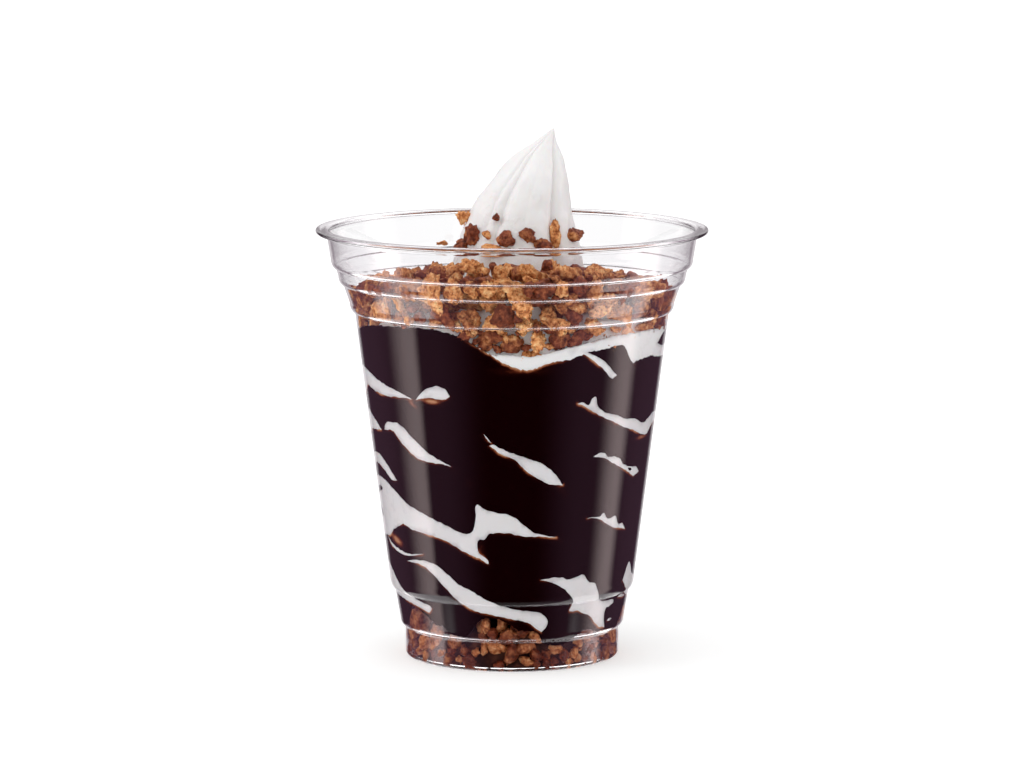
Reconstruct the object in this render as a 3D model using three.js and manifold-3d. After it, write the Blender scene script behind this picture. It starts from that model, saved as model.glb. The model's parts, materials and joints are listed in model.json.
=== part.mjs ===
// A blended ice cream cup: a clear ribbed plastic cup with crunch at its foot, a lining of
// chocolate sauce, soft serve that touches the wall in streaks between the sauce and stands
// up as a piped peak, and more crunch heaped round that peak. Millimetres, +Z up, origin at
// the middle of the cup's foot. Azimuth 0 is the front (-Y) and grows towards +X.
import * as THREE from "three";
import { mergeVertices } from "three/addons/utils/BufferGeometryUtils.js";
import Module from "manifold-3d";

const wasm = await Module();
wasm.setup();

const rad = THREE.MathUtils.degToRad;

// ---- driving dimensions ----

const gap = 0.3; // kept between the faces of neighbouring pieces

// Cup
const cupHeight = 107.7;
const rimRadius = 49;
const mouthRadius = 46.1; // outside of the wall, just under the rim
const rimThickness = 1.1;
const rimRounding = 0.4;
const footRadius = 26.8;
const footHeight = 7;
const footRounding = 1;
const wall = 0.7;
const cupSides = 42;
const facet = 360 / cupSides; // degrees
// Ledges from the foot up: a sharp crease at [height, radius], then a round shoulder over it
const ledges = [
  { height: 7.7, radius: 26.95, rise: 1.6, reach: 1.1 },
  { height: 17.1, radius: 29.4, rise: 3.2, reach: 1.3 },
  { height: 86.9, radius: 39.2, rise: 2.2, reach: 1.3 },
  { height: 93.9, radius: 42.15, rise: 1.9, reach: 1.2 },
  { height: 98, radius: 43.9, rise: 2, reach: 1.3 },
];

// Sauce: it lines the wall and lies as a pool over the crunch in the foot
const sauceDepth = 2.2;
const poolFloor = 14.2;
const poolTop = 16.6;
const poolInLining = 0.5; // how far the pool runs into the lining
// Edges of the sauce round the wall, as [azimuth, height]
const sauceTopEdge = [
  [-90, 82.6], [-65, 85.8], [-40, 86.9], [-24, 86], [-14, 83], [-4, 79], [4, 77], [12, 78.2],
  [20, 79.2], [27, 81], [46, 81.8], [51, 76], [62, 77.4], [90, 75.8], [130, 77], [165, 83],
  [200, 86], [240, 84],
];
const sauceFootEdge = [
  [-90, 8.3], [-66, 10.5], [-58, 14], [-45, 11.5], [-30, 8.6], [-17, 13.6], [-5, 13.2], [6, 10.6],
  [18, 6.8], [32, 7.4], [44, 9.6], [62, 8.8], [80, 13], [100, 12.5], [140, 8.5], [185, 12.6],
  [225, 9],
];

// Where the crunch on top begins at the wall
const crunchFootEdge = [
  [-90, 83], [-65, 86.2], [-40, 87.3], [-24, 86.4], [-14, 83.6], [-6, 81.6], [4, 79], [12, 81],
  [22, 82.4], [40, 84.8], [58, 83.8], [90, 83.6], [130, 83], [165, 84.4], [200, 86.4],
  [240, 84.4],
];

// Streaks where the soft serve touches the wall, as [azimuth, lower edge, upper edge]
const streakDepth = 3;
const streaks = [
  [[-114, 74, 74.6], [-98, 68.4, 74.6], [-83, 67, 73.9], [-70, 69, 72.8], [-42, 68.2, 68.6]],
  [[-42, 68.4, 69], [-34, 67.4, 71.8], [-26, 69, 72], [-20, 70, 70.6]],
  [[-112, 64, 64.6], [-90, 56.6, 62.8], [-78, 58, 62.6], [-62, 58.6, 59.2]],
  [[-62, 59.6, 60.4], [-54, 58.6, 61.7], [-47, 55.2, 60.8], [-36, 53, 55.6], [-25, 52, 52.5]],
  [[-108, 50.2, 50.8], [-90, 47.8, 51], [-73, 49.5, 52.5], [-57, 46.7, 47.2]],
  [[-134, 48, 48.6], [-110, 36.4, 47.2], [-90, 31.2, 45.4], [-72, 31.4, 46.2], [-56, 35.8, 43],
    [-40, 34.2, 39.2], [-26, 31.8, 36.4], [-17, 29.6, 38.4], [-14, 32.5, 42.6], [-8, 35.8, 41.4],
    [1, 35.6, 40.2], [9, 34.8, 37], [18, 34.4, 35]],
  [[-54, 26.3, 26.9], [-40, 24.6, 27.2], [-28, 18.8, 23.4], [-16, 15.4, 20.2], [0, 13.8, 16.6],
    [11, 11.6, 15.6], [24, 10.6, 12.6]],
  [[-122, 29.6, 30.2], [-104, 20, 26.6], [-84, 16, 24.7], [-66, 15.8, 19.4], [-44, 14.3, 15]],
  [[-9, 57.8, 58.5], [0, 54.4, 56.4], [9, 50.2, 54.4], [16, 48, 52], [25, 46.6, 47.2]],
  [[26, 67.8, 68.4], [34, 65.2, 69], [48, 61.5, 64], [65, 58, 60.8], [76, 59, 62.2],
    [90, 59.2, 62], [112, 56.6, 57.2]],
  [[34, 54.6, 55.2], [44, 52.6, 54.8], [54, 49.8, 51.6], [62, 47.6, 50], [68, 48, 48.6]],
  [[34, 39.4, 40], [44, 37.2, 39.4], [52, 35.2, 37.2], [60, 34, 34.5]],
  [[13, 23.8, 24.4], [25, 20.4, 24.1], [33, 15.4, 24], [43, 13.4, 20.6], [52, 11, 16.6],
    [61, 14.6, 15.4]],
  [[61, 21, 21.8], [69, 18.4, 25.2], [78, 16, 21.4], [90, 14.8, 20], [116, 14.4, 15]],
  [[26, 79.2, 79.8], [34, 76, 79], [43, 73.8, 74.6]],
];

// Streaks on the side away from the front, by rule: each falls as it goes round
const backStreaks = {
  from: 116, // azimuth of the first one's start
  step: 14,
  heights: [70, 46, 29, 58, 37, 74, 23, 59], // of the starts
  sweep: [26, 36], // shortest and longest, in degrees
  fall: [5, 8],
  width: [3, 5.6],
  endWidth: 0.6,
  sway: 1.2, // up, then down, on the way
};

// Mound and neck, rings under the crunch; the neck stands higher in front
const mound = { radius: 33, height: 88.6 };
const neck = { radius: 25, height: (azimuth) => 93.4 + 1.8 * Math.cos(rad(azimuth)) };
// The peak's outline from the front, as [height, left side, right side]
const peakOutline = [
  [98, -15.2, 18.2], [104.6, -13.7, 16.9], [110.1, -11.2, 15.8], [116.1, -8.1, 14.6],
  [121.3, -4.1, 13.9], [125.6, 0, 12.7], [128.8, 4.8, 11.4], [131.2, 8.3, 10.8],
];
const peakTip = { x: 10.3, y: 0.6, height: 132.7 };
// Grooves that the star nozzle leaves between the lobes, as azimuths, and their depth
const grooves = [-75, -26, 39, 90, 138, 187, 236];
const grooveDepth = 0.15; // of the radius
const lobeSides = 6;

// Crunch
const chunkSide = 1.5; // of its radius
const chunkJitter = 0.34; // how far a chunk's corners move, of that side
const chunkStretch = [0.75, 1.25]; // of its radius, least and most
const chunkStray = 0.4; // how far a chunk strays along its row, of the spacing
const topHeap = {
  coreInset: 1.8, // of the plain heap under the chunks
  coreRings: [0.22, 0.48, 0.74], // across its uneven top, from the wall to the peak
  coreBumps: 2.6, // from the lowest to the highest
  rows: 3,
  rowStep: 4.8,
  spacing: 3.1, // along a row, in largest radii
  chunk: [2.7, 4.5], // smallest and largest radius
  // Height of the plain heap at the wall and by the peak: both stand higher in front
  wallTop: (azimuth) => 94.4 + 3 * Math.cos(rad(azimuth + 20)),
  innerTop: (azimuth) => 97.4 + 2 * Math.cos(rad(azimuth)),
  innerRadius: 20.5,
  onTop: 27,
  onTopRadius: 39, // of the outermost chunk on top
  sunk: 1.2,
  highest: 102.4,
};
const footHeap = {
  floor: 1.1,
  core: 11.6,
  coreRadius: 23.2,
  rows: 3,
  rowStep: 4,
  spacing: 2.4,
  chunk: [2.2, 3.4],
};
// Chunks caught on the front of the peak, as [x, height, radius across, radius up]
const caughtInFront = [
  [-12.1, 110.6, 1.6, 2.1], [-9.6, 106.2, 2.2, 2.6], [-6.1, 107.2, 1, 1.2], [-3.7, 111.3, 0.9, 1.2],
  [-1.7, 106, 2.1, 2.1], [4, 106.8, 1.9, 1.7], [7.2, 104.6, 2.1, 1.6], [10.7, 107, 1.6, 3.6],
  [15.4, 106, 2.3, 2.6], [-12.3, 103.9, 2.3, 1.6], [-5.2, 103.6, 2.5, 1.3],
];
const caughtBehind = { count: 5, across: [-11, 14], height: [103.5, 109.5], radius: [1.4, 2.4] };
const caughtDepth = 0.95; // how far out a caught chunk's middle lies, of the peak's half width

// ---- helpers ----

const lerp = THREE.MathUtils.lerp;

function seeded(seed) {
  let state = seed;
  return () => {
    state = (state * 1664525 + 1013904223) % 4294967296;
    return state / 4294967296;
  };
}

function atAzimuth(azimuth, radius, height) {
  return new THREE.Vector3(
    radius * Math.sin(rad(azimuth)),
    -radius * Math.cos(rad(azimuth)),
    height,
  );
}

function solidOf(geometry) {
  geometry.deleteAttribute("normal");
  geometry.deleteAttribute("uv");
  const merged = mergeVertices(geometry, 1e-4);
  return new wasm.Manifold(
    new wasm.Mesh({
      numProp: 3,
      vertProperties: merged.attributes.position.array,
      triVerts: new Uint32Array(merged.index.array),
    }),
  );
}

// The largest body of a solid, without the scraps that a cut can leave
function mainBody(solid) {
  return solid.decompose().reduce((a, b) => (b.volume() > a.volume() ? b : a));
}

// A lathe whose section may change round the axis: column(azimuth) gives its points
function turned(azimuths, column) {
  const columns = [...azimuths, azimuths[0]].map(column);
  const rows = columns[0].length;
  const blank = columns[0].map((p, i) => new THREE.Vector2(1, i));
  const geometry = new THREE.LatheGeometry(blank, azimuths.length);
  columns.forEach((points, i) =>
    points.forEach((p, j) => geometry.attributes.position.setXYZ(i * rows + j, p.x, p.y, p.z)),
  );
  return solidOf(geometry);
}

function evenAzimuths(sides) {
  return Array.from({ length: sides }, (_, i) => (360 * i) / sides);
}

// Values of a line of [at, ...values] points at one place, straight between its points
function valuesAt(line, at) {
  const next = Math.max(1, line.findIndex(([a]) => a >= at));
  const [before, after] = [line[next - 1], line[next]];
  const share = (at - before[0]) / (after[0] - before[0]);
  return before.slice(1).map((value, i) => lerp(value, after[i + 1], share));
}

// Height of an edge that closes round the cup, straight between the cup's facet lines
function roundEdge(edge) {
  const closed = [...edge, [edge[0][0] + 360, edge[0][1]]];
  const turn = (azimuth) => THREE.MathUtils.euclideanModulo(azimuth - edge[0][0], 360) + edge[0][0];
  const heights = evenAzimuths(cupSides).map((azimuth) => valuesAt(closed, turn(azimuth))[0]);
  return (azimuth) => {
    const at = THREE.MathUtils.euclideanModulo(azimuth, 360) / facet;
    const line = Math.floor(at);
    return lerp(heights[line % cupSides], heights[(line + 1) % cupSides], at - line);
  };
}

// ---- cup ----

// A ledge's shoulder, a quarter of an ellipse from the crease out and up
function shoulder({ height, radius, rise, reach }) {
  return [0, 45, 90].map((turn) => [
    radius + reach * Math.sin(rad(turn)),
    height + rise * (1 - Math.cos(rad(turn))),
  ]);
}

// Outside of the cup from the foot to under the rim, as [radius, height]
const outside = [
  [footRadius - footRounding, 0],
  [footRadius, footRounding],
  [footRadius, footHeight],
  ...ledges.flatMap(shoulder),
  [mouthRadius, cupHeight - 2 * rimThickness],
];

// Outer radius of the room for food at a height, straight from crease to crease
const creases = [
  [0, footRadius - 2 * footRounding],
  [2 * footRounding, footRadius],
  ...ledges.map((ledge) => [ledge.height, ledge.radius]),
];
function roomRadius(height) {
  return valuesAt([...creases, [cupHeight, mouthRadius]], height)[0] - wall - gap;
}

function cup() {
  const slopes = ledges.flatMap(({ height, radius, rise, reach }) => [
    [radius - wall, height],
    [radius + reach - wall, height + rise],
  ]);
  const inside = [
    [footRadius - wall, wall + footRounding],
    ...slopes,
    [mouthRadius - wall, cupHeight - rimThickness],
  ];
  const rim = [
    [rimRadius - rimRounding, cupHeight - rimThickness],
    [rimRadius, cupHeight - rimThickness + rimRounding],
    [rimRadius, cupHeight - rimRounding],
    [rimRadius - rimRounding, cupHeight],
    [mouthRadius, cupHeight],
  ];
  const profile = [
    [0, 0],
    ...outside,
    [mouthRadius, cupHeight - rimThickness],
    ...rim,
    ...inside.reverse(),
    [footRadius - wall - footRounding, wall],
    [0, wall],
  ];
  return turned(evenAzimuths(cupSides), (azimuth) =>
    profile.map(([radius, height]) => atAzimuth(azimuth, radius, height)),
  );
}

// ---- streaks ----

// A streak on the cup's facet lines: both edges at each line, and a point at either end
function onFacets(streak) {
  const [from, to] = [streak[0][0], streak.at(-1)[0]];
  const [first, last] = [Math.round(from / facet), Math.round(to / facet)];
  return Array.from({ length: last - first + 1 }, (_, i) => {
    const azimuth = (first + i) * facet;
    const [low, high] = valuesAt(streak, THREE.MathUtils.clamp(azimuth, from, to));
    const middle = (low + high) / 2;
    const isEnd = i === 0 || i === last - first;
    return { azimuth, low: isEnd ? middle : low, high: isEnd ? middle : high };
  });
}

// A streak's edges drawn in by a margin, with its ends where that leaves it some height
function drawnIn(stations, margin) {
  const least = 3 * margin;
  const endOf = (end, next) => {
    const share = Math.min(1, least / (next.high - next.low));
    return {
      azimuth: lerp(end.azimuth, next.azimuth, share),
      low: lerp(end.low, next.low, share) + margin,
      high: lerp(end.high, next.high, share) - margin,
    };
  };
  return [
    endOf(stations[0], stations[1]),
    ...stations.slice(1, -1).map(({ azimuth, low, high }) => {
      return { azimuth, low: low + margin, high: high - margin };
    }),
    endOf(stations.at(-1), stations.at(-2)),
  ];
}

// A bar bent onto the wall between a streak's two edges
function streakBar(stations, inward, outward) {
  const spans = stations.length - 1;
  const bar = new THREE.BoxGeometry(1, 1, 1, spans, 1, 1);
  const position = bar.attributes.position;
  for (let i = 0; i < position.count; i++) {
    const { azimuth, low, high } = stations[Math.round((position.getX(i) + 0.5) * spans)];
    const height = position.getY(i) > 0 ? high : low;
    const radius = roomRadius(height) + (position.getZ(i) > 0 ? outward : -inward);
    position.setXYZ(i, ...atAzimuth(azimuth, radius, height));
  }
  return solidOf(bar);
}

function streaksBehind() {
  const draw = seeded(7);
  const between = ([low, high]) => lerp(low, high, draw());
  return backStreaks.heights.map((height, i) => {
    const from = backStreaks.from + i * backStreaks.step;
    const sweep = between(backStreaks.sweep);
    const fall = between(backStreaks.fall);
    const width = between(backStreaks.width);
    return [0, 1 / 3, 2 / 3, 1].map((t) => {
      const middle = height - fall * t + backStreaks.sway * Math.sin(2 * Math.PI * t);
      const half = (backStreaks.endWidth + width * Math.sin(Math.PI * t)) / 2;
      return [from + sweep * t, middle - half, middle + half];
    });
  });
}

function joined(solids) {
  return solids.reduce((a, b) => a.add(b));
}

const allStreaks = [...streaks, ...streaksBehind()].map(onFacets);
const sauceTop = roundEdge(sauceTopEdge);
const sauceFoot = roundEdge(sauceFootEdge);
const crunchFootDrawn = roundEdge(crunchFootEdge);
const crunchFoot = (azimuth) => Math.max(crunchFootDrawn(azimuth), sauceTop(azimuth) + 2 * gap);

// ---- chocolate sauce ----

// One band of the lining between two facet lines: outer, inner, top and bottom faces.
// A side is the heights of its points, from the bottom up, and may be a single point
function bandFaces(left, right, pointAt) {
  const faces = [];
  const face = (...corners) => faces.push(corners);
  const [leftTop, rightTop] = [left.at(-1), right.at(-1)];
  for (let i = 0, j = 0; i + j < left.length + right.length - 2; ) {
    const goLeft = j === right.length - 1 || (i < left.length - 1 && left[i + 1] < right[j + 1]);
    const next = goLeft ? ["left", left[i + 1]] : ["right", right[j + 1]];
    const corners = [["left", left[i]], ["right", right[j]], next];
    face(...corners.map(([side, height]) => pointAt(side, height, "outer")));
    face(...corners.reverse().map(([side, height]) => pointAt(side, height, "inner")));
    if (goLeft) i++;
    else j++;
  }
  const edge = (l, r) => [
    pointAt("left", l, "outer"),
    pointAt("right", r, "outer"),
    pointAt("right", r, "inner"),
    pointAt("left", l, "inner"),
  ];
  const [a, b, c, d] = edge(leftTop, rightTop);
  face(a, b, c);
  face(a, c, d);
  const [e, f, g, h] = edge(left[0], right[0]);
  face(f, e, h);
  face(f, h, g);
  return faces;
}

// The lining of the wall: in each facet, bands of sauce between the streaks that pass
function lining() {
  const lineOf = (azimuth) =>
    THREE.MathUtils.euclideanModulo(Math.round(azimuth / facet), cupSides);
  const feet = evenAzimuths(cupSides).map(sauceFoot);
  const tops = evenAzimuths(cupSides).map(sauceTop);
  const heights = feet.map((foot, line) => [foot, ledges[1].height, tops[line]]);
  allStreaks.flat().forEach(({ azimuth, low, high }) => heights[lineOf(azimuth)].push(low, high));
  const within = (line, low, high) =>
    [...new Set(heights[line])].filter((z) => z >= low && z <= high).sort((a, b) => a - b);
  const faces = heights.flatMap((_, line) => {
    const next = (line + 1) % cupSides;
    const passing = allStreaks
      .flatMap((stations) => stations.slice(1).map((right, i) => [stations[i], right]))
      .filter(([left]) => lineOf(left.azimuth) === line)
      .sort(([a, b], [c, d]) => a.low + b.low - c.low - d.low);
    const edges = [
      [feet[line], feet[next]],
      ...passing.flatMap(([left, right]) => [[left.low, right.low], [left.high, right.high]]),
      [tops[line], tops[next]],
    ];
    const pointAt = (side, height, layer) =>
      atAzimuth(
        (side === "left" ? line : next) * facet,
        roomRadius(height) - (layer === "outer" ? 0 : sauceDepth),
        height,
      );
    return passing.concat([0]).flatMap((_, band) => {
      const [bottom, top] = edges.slice(2 * band, 2 * band + 2);
      const [left, right] = [within(line, bottom[0], top[0]), within(next, bottom[1], top[1])];
      return bandFaces(left, right, pointAt);
    });
  });
  const geometry = new THREE.BufferGeometry();
  geometry.setFromPoints(faces.flat());
  return solidOf(geometry);
}

// The pool, which runs right across and a little way into the lining
function pool() {
  const radius = roomRadius(poolFloor) - sauceDepth + poolInLining;
  const profile = [[0, poolFloor], [radius, poolFloor], [radius, poolTop], [0, poolTop]];
  return turned(evenAzimuths(cupSides), (azimuth) =>
    profile.map(([r, height]) => atAzimuth(azimuth, r, height)),
  );
}

const streakCuts = joined(allStreaks.map((stations) => streakBar(stations, streakDepth + gap, 1)));

function chocolateSauce() {
  return mainBody(lining().add(pool().subtract(streakCuts)));
}

// ---- soft serve ----

// The columns of the body: on the cup's facet lines at the wall, and by the peak on its
// grooves and the lobes between them, where dip is 0 on a lobe and 1 in a groove
function lobeColumns() {
  const firstLine = Math.round(grooves[0] / facet);
  const closed = [...grooves, grooves[0] + 360];
  return grooves.flatMap((groove, i) =>
    Array.from({ length: lobeSides }, (_, k) => ({
      atWall: (firstLine + i * lobeSides + k) * facet,
      atPeak: lerp(groove, closed[i + 1], k / lobeSides),
      dip: 1 - Math.sin((Math.PI * k) / lobeSides),
    })),
  );
}

function softServeBody(grow) {
  return turned(lobeColumns(), ({ atWall, atPeak, dip }) => {
    const groove = 1 - grooveDepth * dip;
    const innerRadius = (height) => roomRadius(height) - sauceDepth - gap + grow;
    const bandFoot = sauceTop(atWall) + gap - grow;
    const bandTop = crunchFoot(atWall) - gap + grow;
    const bandRadius = bandTop - bandFoot > 0.5 ? roomRadius : innerRadius;
    const neckRadius = ((neck.radius + grow) * (1 + groove)) / 2;
    const peak = peakOutline.map(([height, left, right]) => {
      const half = ((right - left) / 2 + grow) * groove;
      const centre = new THREE.Vector3((left + right) / 2, peakTip.y, 0);
      return atAzimuth(atPeak, half, height).add(centre);
    });
    return [
      atAzimuth(0, 0, poolTop + gap),
      atAzimuth(atWall, innerRadius(poolTop), poolTop + gap),
      atAzimuth(atWall, innerRadius(bandFoot), bandFoot),
      atAzimuth(atWall, bandRadius(bandFoot), bandFoot),
      atAzimuth(atWall, bandRadius(bandTop), bandTop),
      atAzimuth(atWall, mound.radius + grow, mound.height + grow),
      atAzimuth((atWall + atPeak) / 2, neckRadius, neck.height(atWall) + grow),
      ...peak,
      new THREE.Vector3(peakTip.x, peakTip.y, peakTip.height + grow),
    ];
  });
}

// ---- crunch ----

// One chunk: a block with its corners pulled out of place, about the origin
function chunk(draw, radii) {
  const geometry = new THREE.BoxGeometry(chunkSide, chunkSide, chunkSide);
  geometry.deleteAttribute("normal");
  geometry.deleteAttribute("uv");
  const shape = mergeVertices(geometry, 1e-4);
  const position = shape.attributes.position;
  const jittered = (value) => value + (draw() - 0.5) * chunkJitter * chunkSide;
  for (let i = 0; i < position.count; i++) {
    const [x, y, z] = [position.getX(i), position.getY(i), position.getZ(i)];
    position.setXYZ(i, jittered(x), jittered(y), jittered(z));
  }
  const turn = new THREE.Euler(draw() * Math.PI, draw() * Math.PI, draw() * Math.PI);
  shape.applyMatrix4(new THREE.Matrix4().makeRotationFromEuler(turn));
  shape.scale(...radii);
  return shape;
}

function chunkRadii(draw, [small, large]) {
  const radius = lerp(small, large, draw());
  return [0, 1, 2].map(() => radius * lerp(...chunkStretch, draw()));
}

function pointsOf(geometry) {
  const position = geometry.attributes.position;
  return Array.from({ length: position.count }, (_, i) =>
    new THREE.Vector3().fromBufferAttribute(position, i),
  );
}

// Moves a chunk in from the wall until no corner crosses it
function offWall(shape, azimuth) {
  const over = pointsOf(shape).map((p) => Math.hypot(p.x, p.y) - roomRadius(p.z));
  shape.translate(...atAzimuth(azimuth, -Math.max(0, ...over), 0));
  return shape;
}

const azimuthOf = (point) => THREE.MathUtils.radToDeg(Math.atan2(point.x, -point.y));

// Chunks in rows up the wall over the foot of the top heap
function topChunksAtWall(draw) {
  const { rowStep, rows, spacing, chunk: size, wallTop } = topHeap;
  return Array.from({ length: rows }, (_, row) => {
    const count = Math.floor((2 * Math.PI * creases[4][1]) / (spacing * size[1]));
    return Array.from({ length: count }, (_, i) => {
      const azimuth = (360 * (i + (row % 2) / 2 + chunkStray * draw())) / count;
      const shape = chunk(draw, chunkRadii(draw, size));
      const height = crunchFoot(azimuth) + (row + 0.5) * rowStep + draw();
      if (height > wallTop(azimuth)) return [];
      shape.translate(...atAzimuth(azimuth, roomRadius(height), height));
      const under = pointsOf(shape).map((p) => crunchFoot(azimuthOf(p)) - p.z);
      shape.translate(0, 0, Math.max(0, ...under));
      return [solidOf(offWall(shape, azimuth))];
    }).flat();
  }).flat();
}

// Height of the plain heap's top at a radius: highest next to the peak
function topHeapHeight(azimuth, radius) {
  const { wallTop, innerTop, innerRadius } = topHeap;
  const outer = roomRadius(wallTop(azimuth));
  const across = (outer - radius) / (outer - innerRadius);
  return lerp(wallTop(azimuth), innerTop(azimuth), across);
}

function topHeapCore() {
  const { coreInset, coreRings, coreBumps, innerRadius } = topHeap;
  const draw = seeded(5);
  const lines = evenAzimuths(cupSides);
  const bumps = lines.map(() => coreRings.map(() => coreBumps * (draw() - 0.5)));
  return turned(lines, (azimuth) => {
    const foot = crunchFoot(azimuth);
    const out = roomRadius(foot) - coreInset;
    const edge = topHeapHeight(azimuth, out) - coreInset;
    const top = coreRings.map((across, i) => {
      const radius = lerp(out, innerRadius, across);
      return [radius, topHeapHeight(azimuth, radius) - coreInset + bumps[lines.indexOf(azimuth)][i]];
    });
    const column = [
      [out, foot],
      [roomRadius(edge) - coreInset, edge],
      ...top,
      [innerRadius, topHeapHeight(azimuth, innerRadius) - coreInset],
      [innerRadius, foot],
      [out, foot],
    ];
    return column.map(([radius, height]) => atAzimuth(azimuth, radius, height));
  });
}

function chunksOnTop(draw) {
  const goldenAngle = 137.508;
  const { onTop, onTopRadius, sunk, highest, innerRadius, chunk: size } = topHeap;
  return Array.from({ length: onTop }, (_, i) => {
    const radius = Math.sqrt(lerp(innerRadius ** 2, onTopRadius ** 2, (i + 0.5) / onTop));
    const azimuth = goldenAngle * i;
    const shape = chunk(draw, chunkRadii(draw, size));
    const height = topHeapHeight(azimuth, radius) - sunk * draw();
    shape.translate(...atAzimuth(azimuth, radius, height));
    const over = Math.max(...pointsOf(shape).map((p) => p.z)) - highest;
    shape.translate(0, 0, -Math.max(0, over));
    return solidOf(offWall(shape, azimuth));
  });
}

// A chunk stuck to the peak: side is -1 on the front and 1 on the back
function stuckToPeak(draw, x, height, radii, side) {
  const [left, right] = valuesAt(peakOutline, height);
  const half = (right - left) / 2;
  const off = (x - (left + right) / 2) / half;
  const out = caughtDepth * half * Math.sqrt(Math.max(0, 1 - off * off));
  const shape = chunk(draw, radii);
  shape.translate(x, side * out, height);
  return solidOf(shape);
}

function caughtChunks() {
  const draw = seeded(11);
  const { count, across, height, radius } = caughtBehind;
  const front = caughtInFront.map(([x, z, wide, high]) =>
    stuckToPeak(draw, x, z, [wide, wide, high], -1),
  );
  const behind = Array.from({ length: count }, (_, i) => {
    const size = lerp(...radius, draw());
    const x = lerp(...across, (i + draw()) / count);
    return stuckToPeak(draw, x, lerp(...height, draw()), [size, size, size], 1);
  });
  return [...front, ...behind];
}

// ---- the pieces ----

function softServe() {
  const bars = allStreaks.map((stations) => streakBar(drawnIn(stations, gap), streakDepth, 0));
  return mainBody(joined([softServeBody(0), ...bars, ...caughtChunks()]));
}

function topCrunch() {
  const draw = seeded(23);
  const heap = joined([topHeapCore(), ...topChunksAtWall(draw), ...chunksOnTop(draw)]);
  return mainBody(heap.subtract(softServeBody(gap)).subtract(joined(caughtChunks())));
}

function baseCrunch() {
  const draw = seeded(41);
  const { floor, core, coreRadius, rows, rowStep, spacing, chunk: size } = footHeap;
  const profile = [[0, floor], [coreRadius, floor], [coreRadius, core], [0, core]];
  const bare = turned(evenAzimuths(cupSides / 2), (azimuth) =>
    profile.map(([radius, height]) => atAzimuth(azimuth, radius, height)),
  );
  const count = Math.floor((2 * Math.PI * coreRadius) / (spacing * size[1]));
  const chunks = Array.from({ length: rows * count }, (_, i) => {
    const row = Math.floor(i / count);
    const azimuth = (360 * (i + (row % 2) / 2 + chunkStray * draw())) / count;
    const height = floor + size[0] + row * rowStep + draw();
    const shape = chunk(draw, chunkRadii(draw, size));
    shape.translate(...atAzimuth(azimuth, roomRadius(height), height));
    const ceiling = Math.min(...pointsOf(shape).map((p) => sauceFoot(azimuthOf(p)))) - gap;
    const heights = pointsOf(shape).map((p) => p.z);
    const [up, down] = [floor - Math.min(...heights), ceiling - Math.max(...heights)];
    if (up > down) return [];
    shape.translate(0, 0, THREE.MathUtils.clamp(0, up, down));
    return [solidOf(offWall(shape, azimuth))];
  }).flat();
  return mainBody(joined([bare, ...chunks]));
}

function meshOf(name, solid, material) {
  const { numProp, vertProperties, triVerts } = solid.getMesh();
  const geometry = new THREE.BufferGeometry();
  geometry.setAttribute("position", new THREE.BufferAttribute(vertProperties, numProp));
  geometry.setIndex(new THREE.BufferAttribute(triVerts, 1));
  geometry.computeVertexNormals();
  const mesh = new THREE.Mesh(geometry, new THREE.MeshStandardMaterial(material));
  mesh.name = name;
  return mesh;
}

const clearPlastic = { color: 0xf3f6f8, roughness: 0.05, transparent: true, opacity: 0.25 };
const cream = { color: 0xf4f1ee, roughness: 0.45 };
const chocolate = { color: 0x190606, roughness: 0.2 };
const toasted = { color: 0x9c5b2c, roughness: 0.75 };

const iceCreamCup = new THREE.Group();
iceCreamCup.add(
  meshOf("cup", cup(), clearPlastic),
  meshOf("base_crunch", baseCrunch(), toasted),
  meshOf("chocolate_sauce", chocolateSauce(), chocolate),
  meshOf("soft_serve", softServe(), cream),
  meshOf("top_crunch", topCrunch(), toasted),
);

export default iceCreamCup;
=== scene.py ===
import json
import math
import bmesh
import bpy
import numpy as np
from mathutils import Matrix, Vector, noise
from mathutils.geometry import delaunay_2d_cdt

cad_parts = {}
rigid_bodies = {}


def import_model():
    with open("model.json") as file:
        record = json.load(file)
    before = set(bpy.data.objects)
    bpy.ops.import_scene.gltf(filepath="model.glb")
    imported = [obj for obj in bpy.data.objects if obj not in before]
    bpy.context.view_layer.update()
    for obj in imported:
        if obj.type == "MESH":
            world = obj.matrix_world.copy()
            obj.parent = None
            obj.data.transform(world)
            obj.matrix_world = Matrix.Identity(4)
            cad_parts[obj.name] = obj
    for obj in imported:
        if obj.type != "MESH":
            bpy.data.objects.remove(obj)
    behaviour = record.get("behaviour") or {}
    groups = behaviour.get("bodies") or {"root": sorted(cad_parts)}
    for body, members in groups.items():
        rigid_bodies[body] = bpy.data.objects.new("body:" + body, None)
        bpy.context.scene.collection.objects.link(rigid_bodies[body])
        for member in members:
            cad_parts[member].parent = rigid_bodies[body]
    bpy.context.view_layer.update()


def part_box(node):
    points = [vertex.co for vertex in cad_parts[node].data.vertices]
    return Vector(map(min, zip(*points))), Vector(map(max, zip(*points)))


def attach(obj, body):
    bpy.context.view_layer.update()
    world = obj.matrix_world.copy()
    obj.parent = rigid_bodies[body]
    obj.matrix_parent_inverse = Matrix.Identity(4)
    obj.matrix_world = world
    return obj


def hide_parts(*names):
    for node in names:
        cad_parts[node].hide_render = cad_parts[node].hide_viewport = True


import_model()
mm = 0.001

cameraView = {
    "distance": 1.2335,  # in front of the cup's axis
    "height": 0.2421,
    "pitchDown": 8.02,  # degrees
    "lens": 174.77,
    "sensorWidth": 36,
    "clipStart": 0.05,
}


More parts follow.
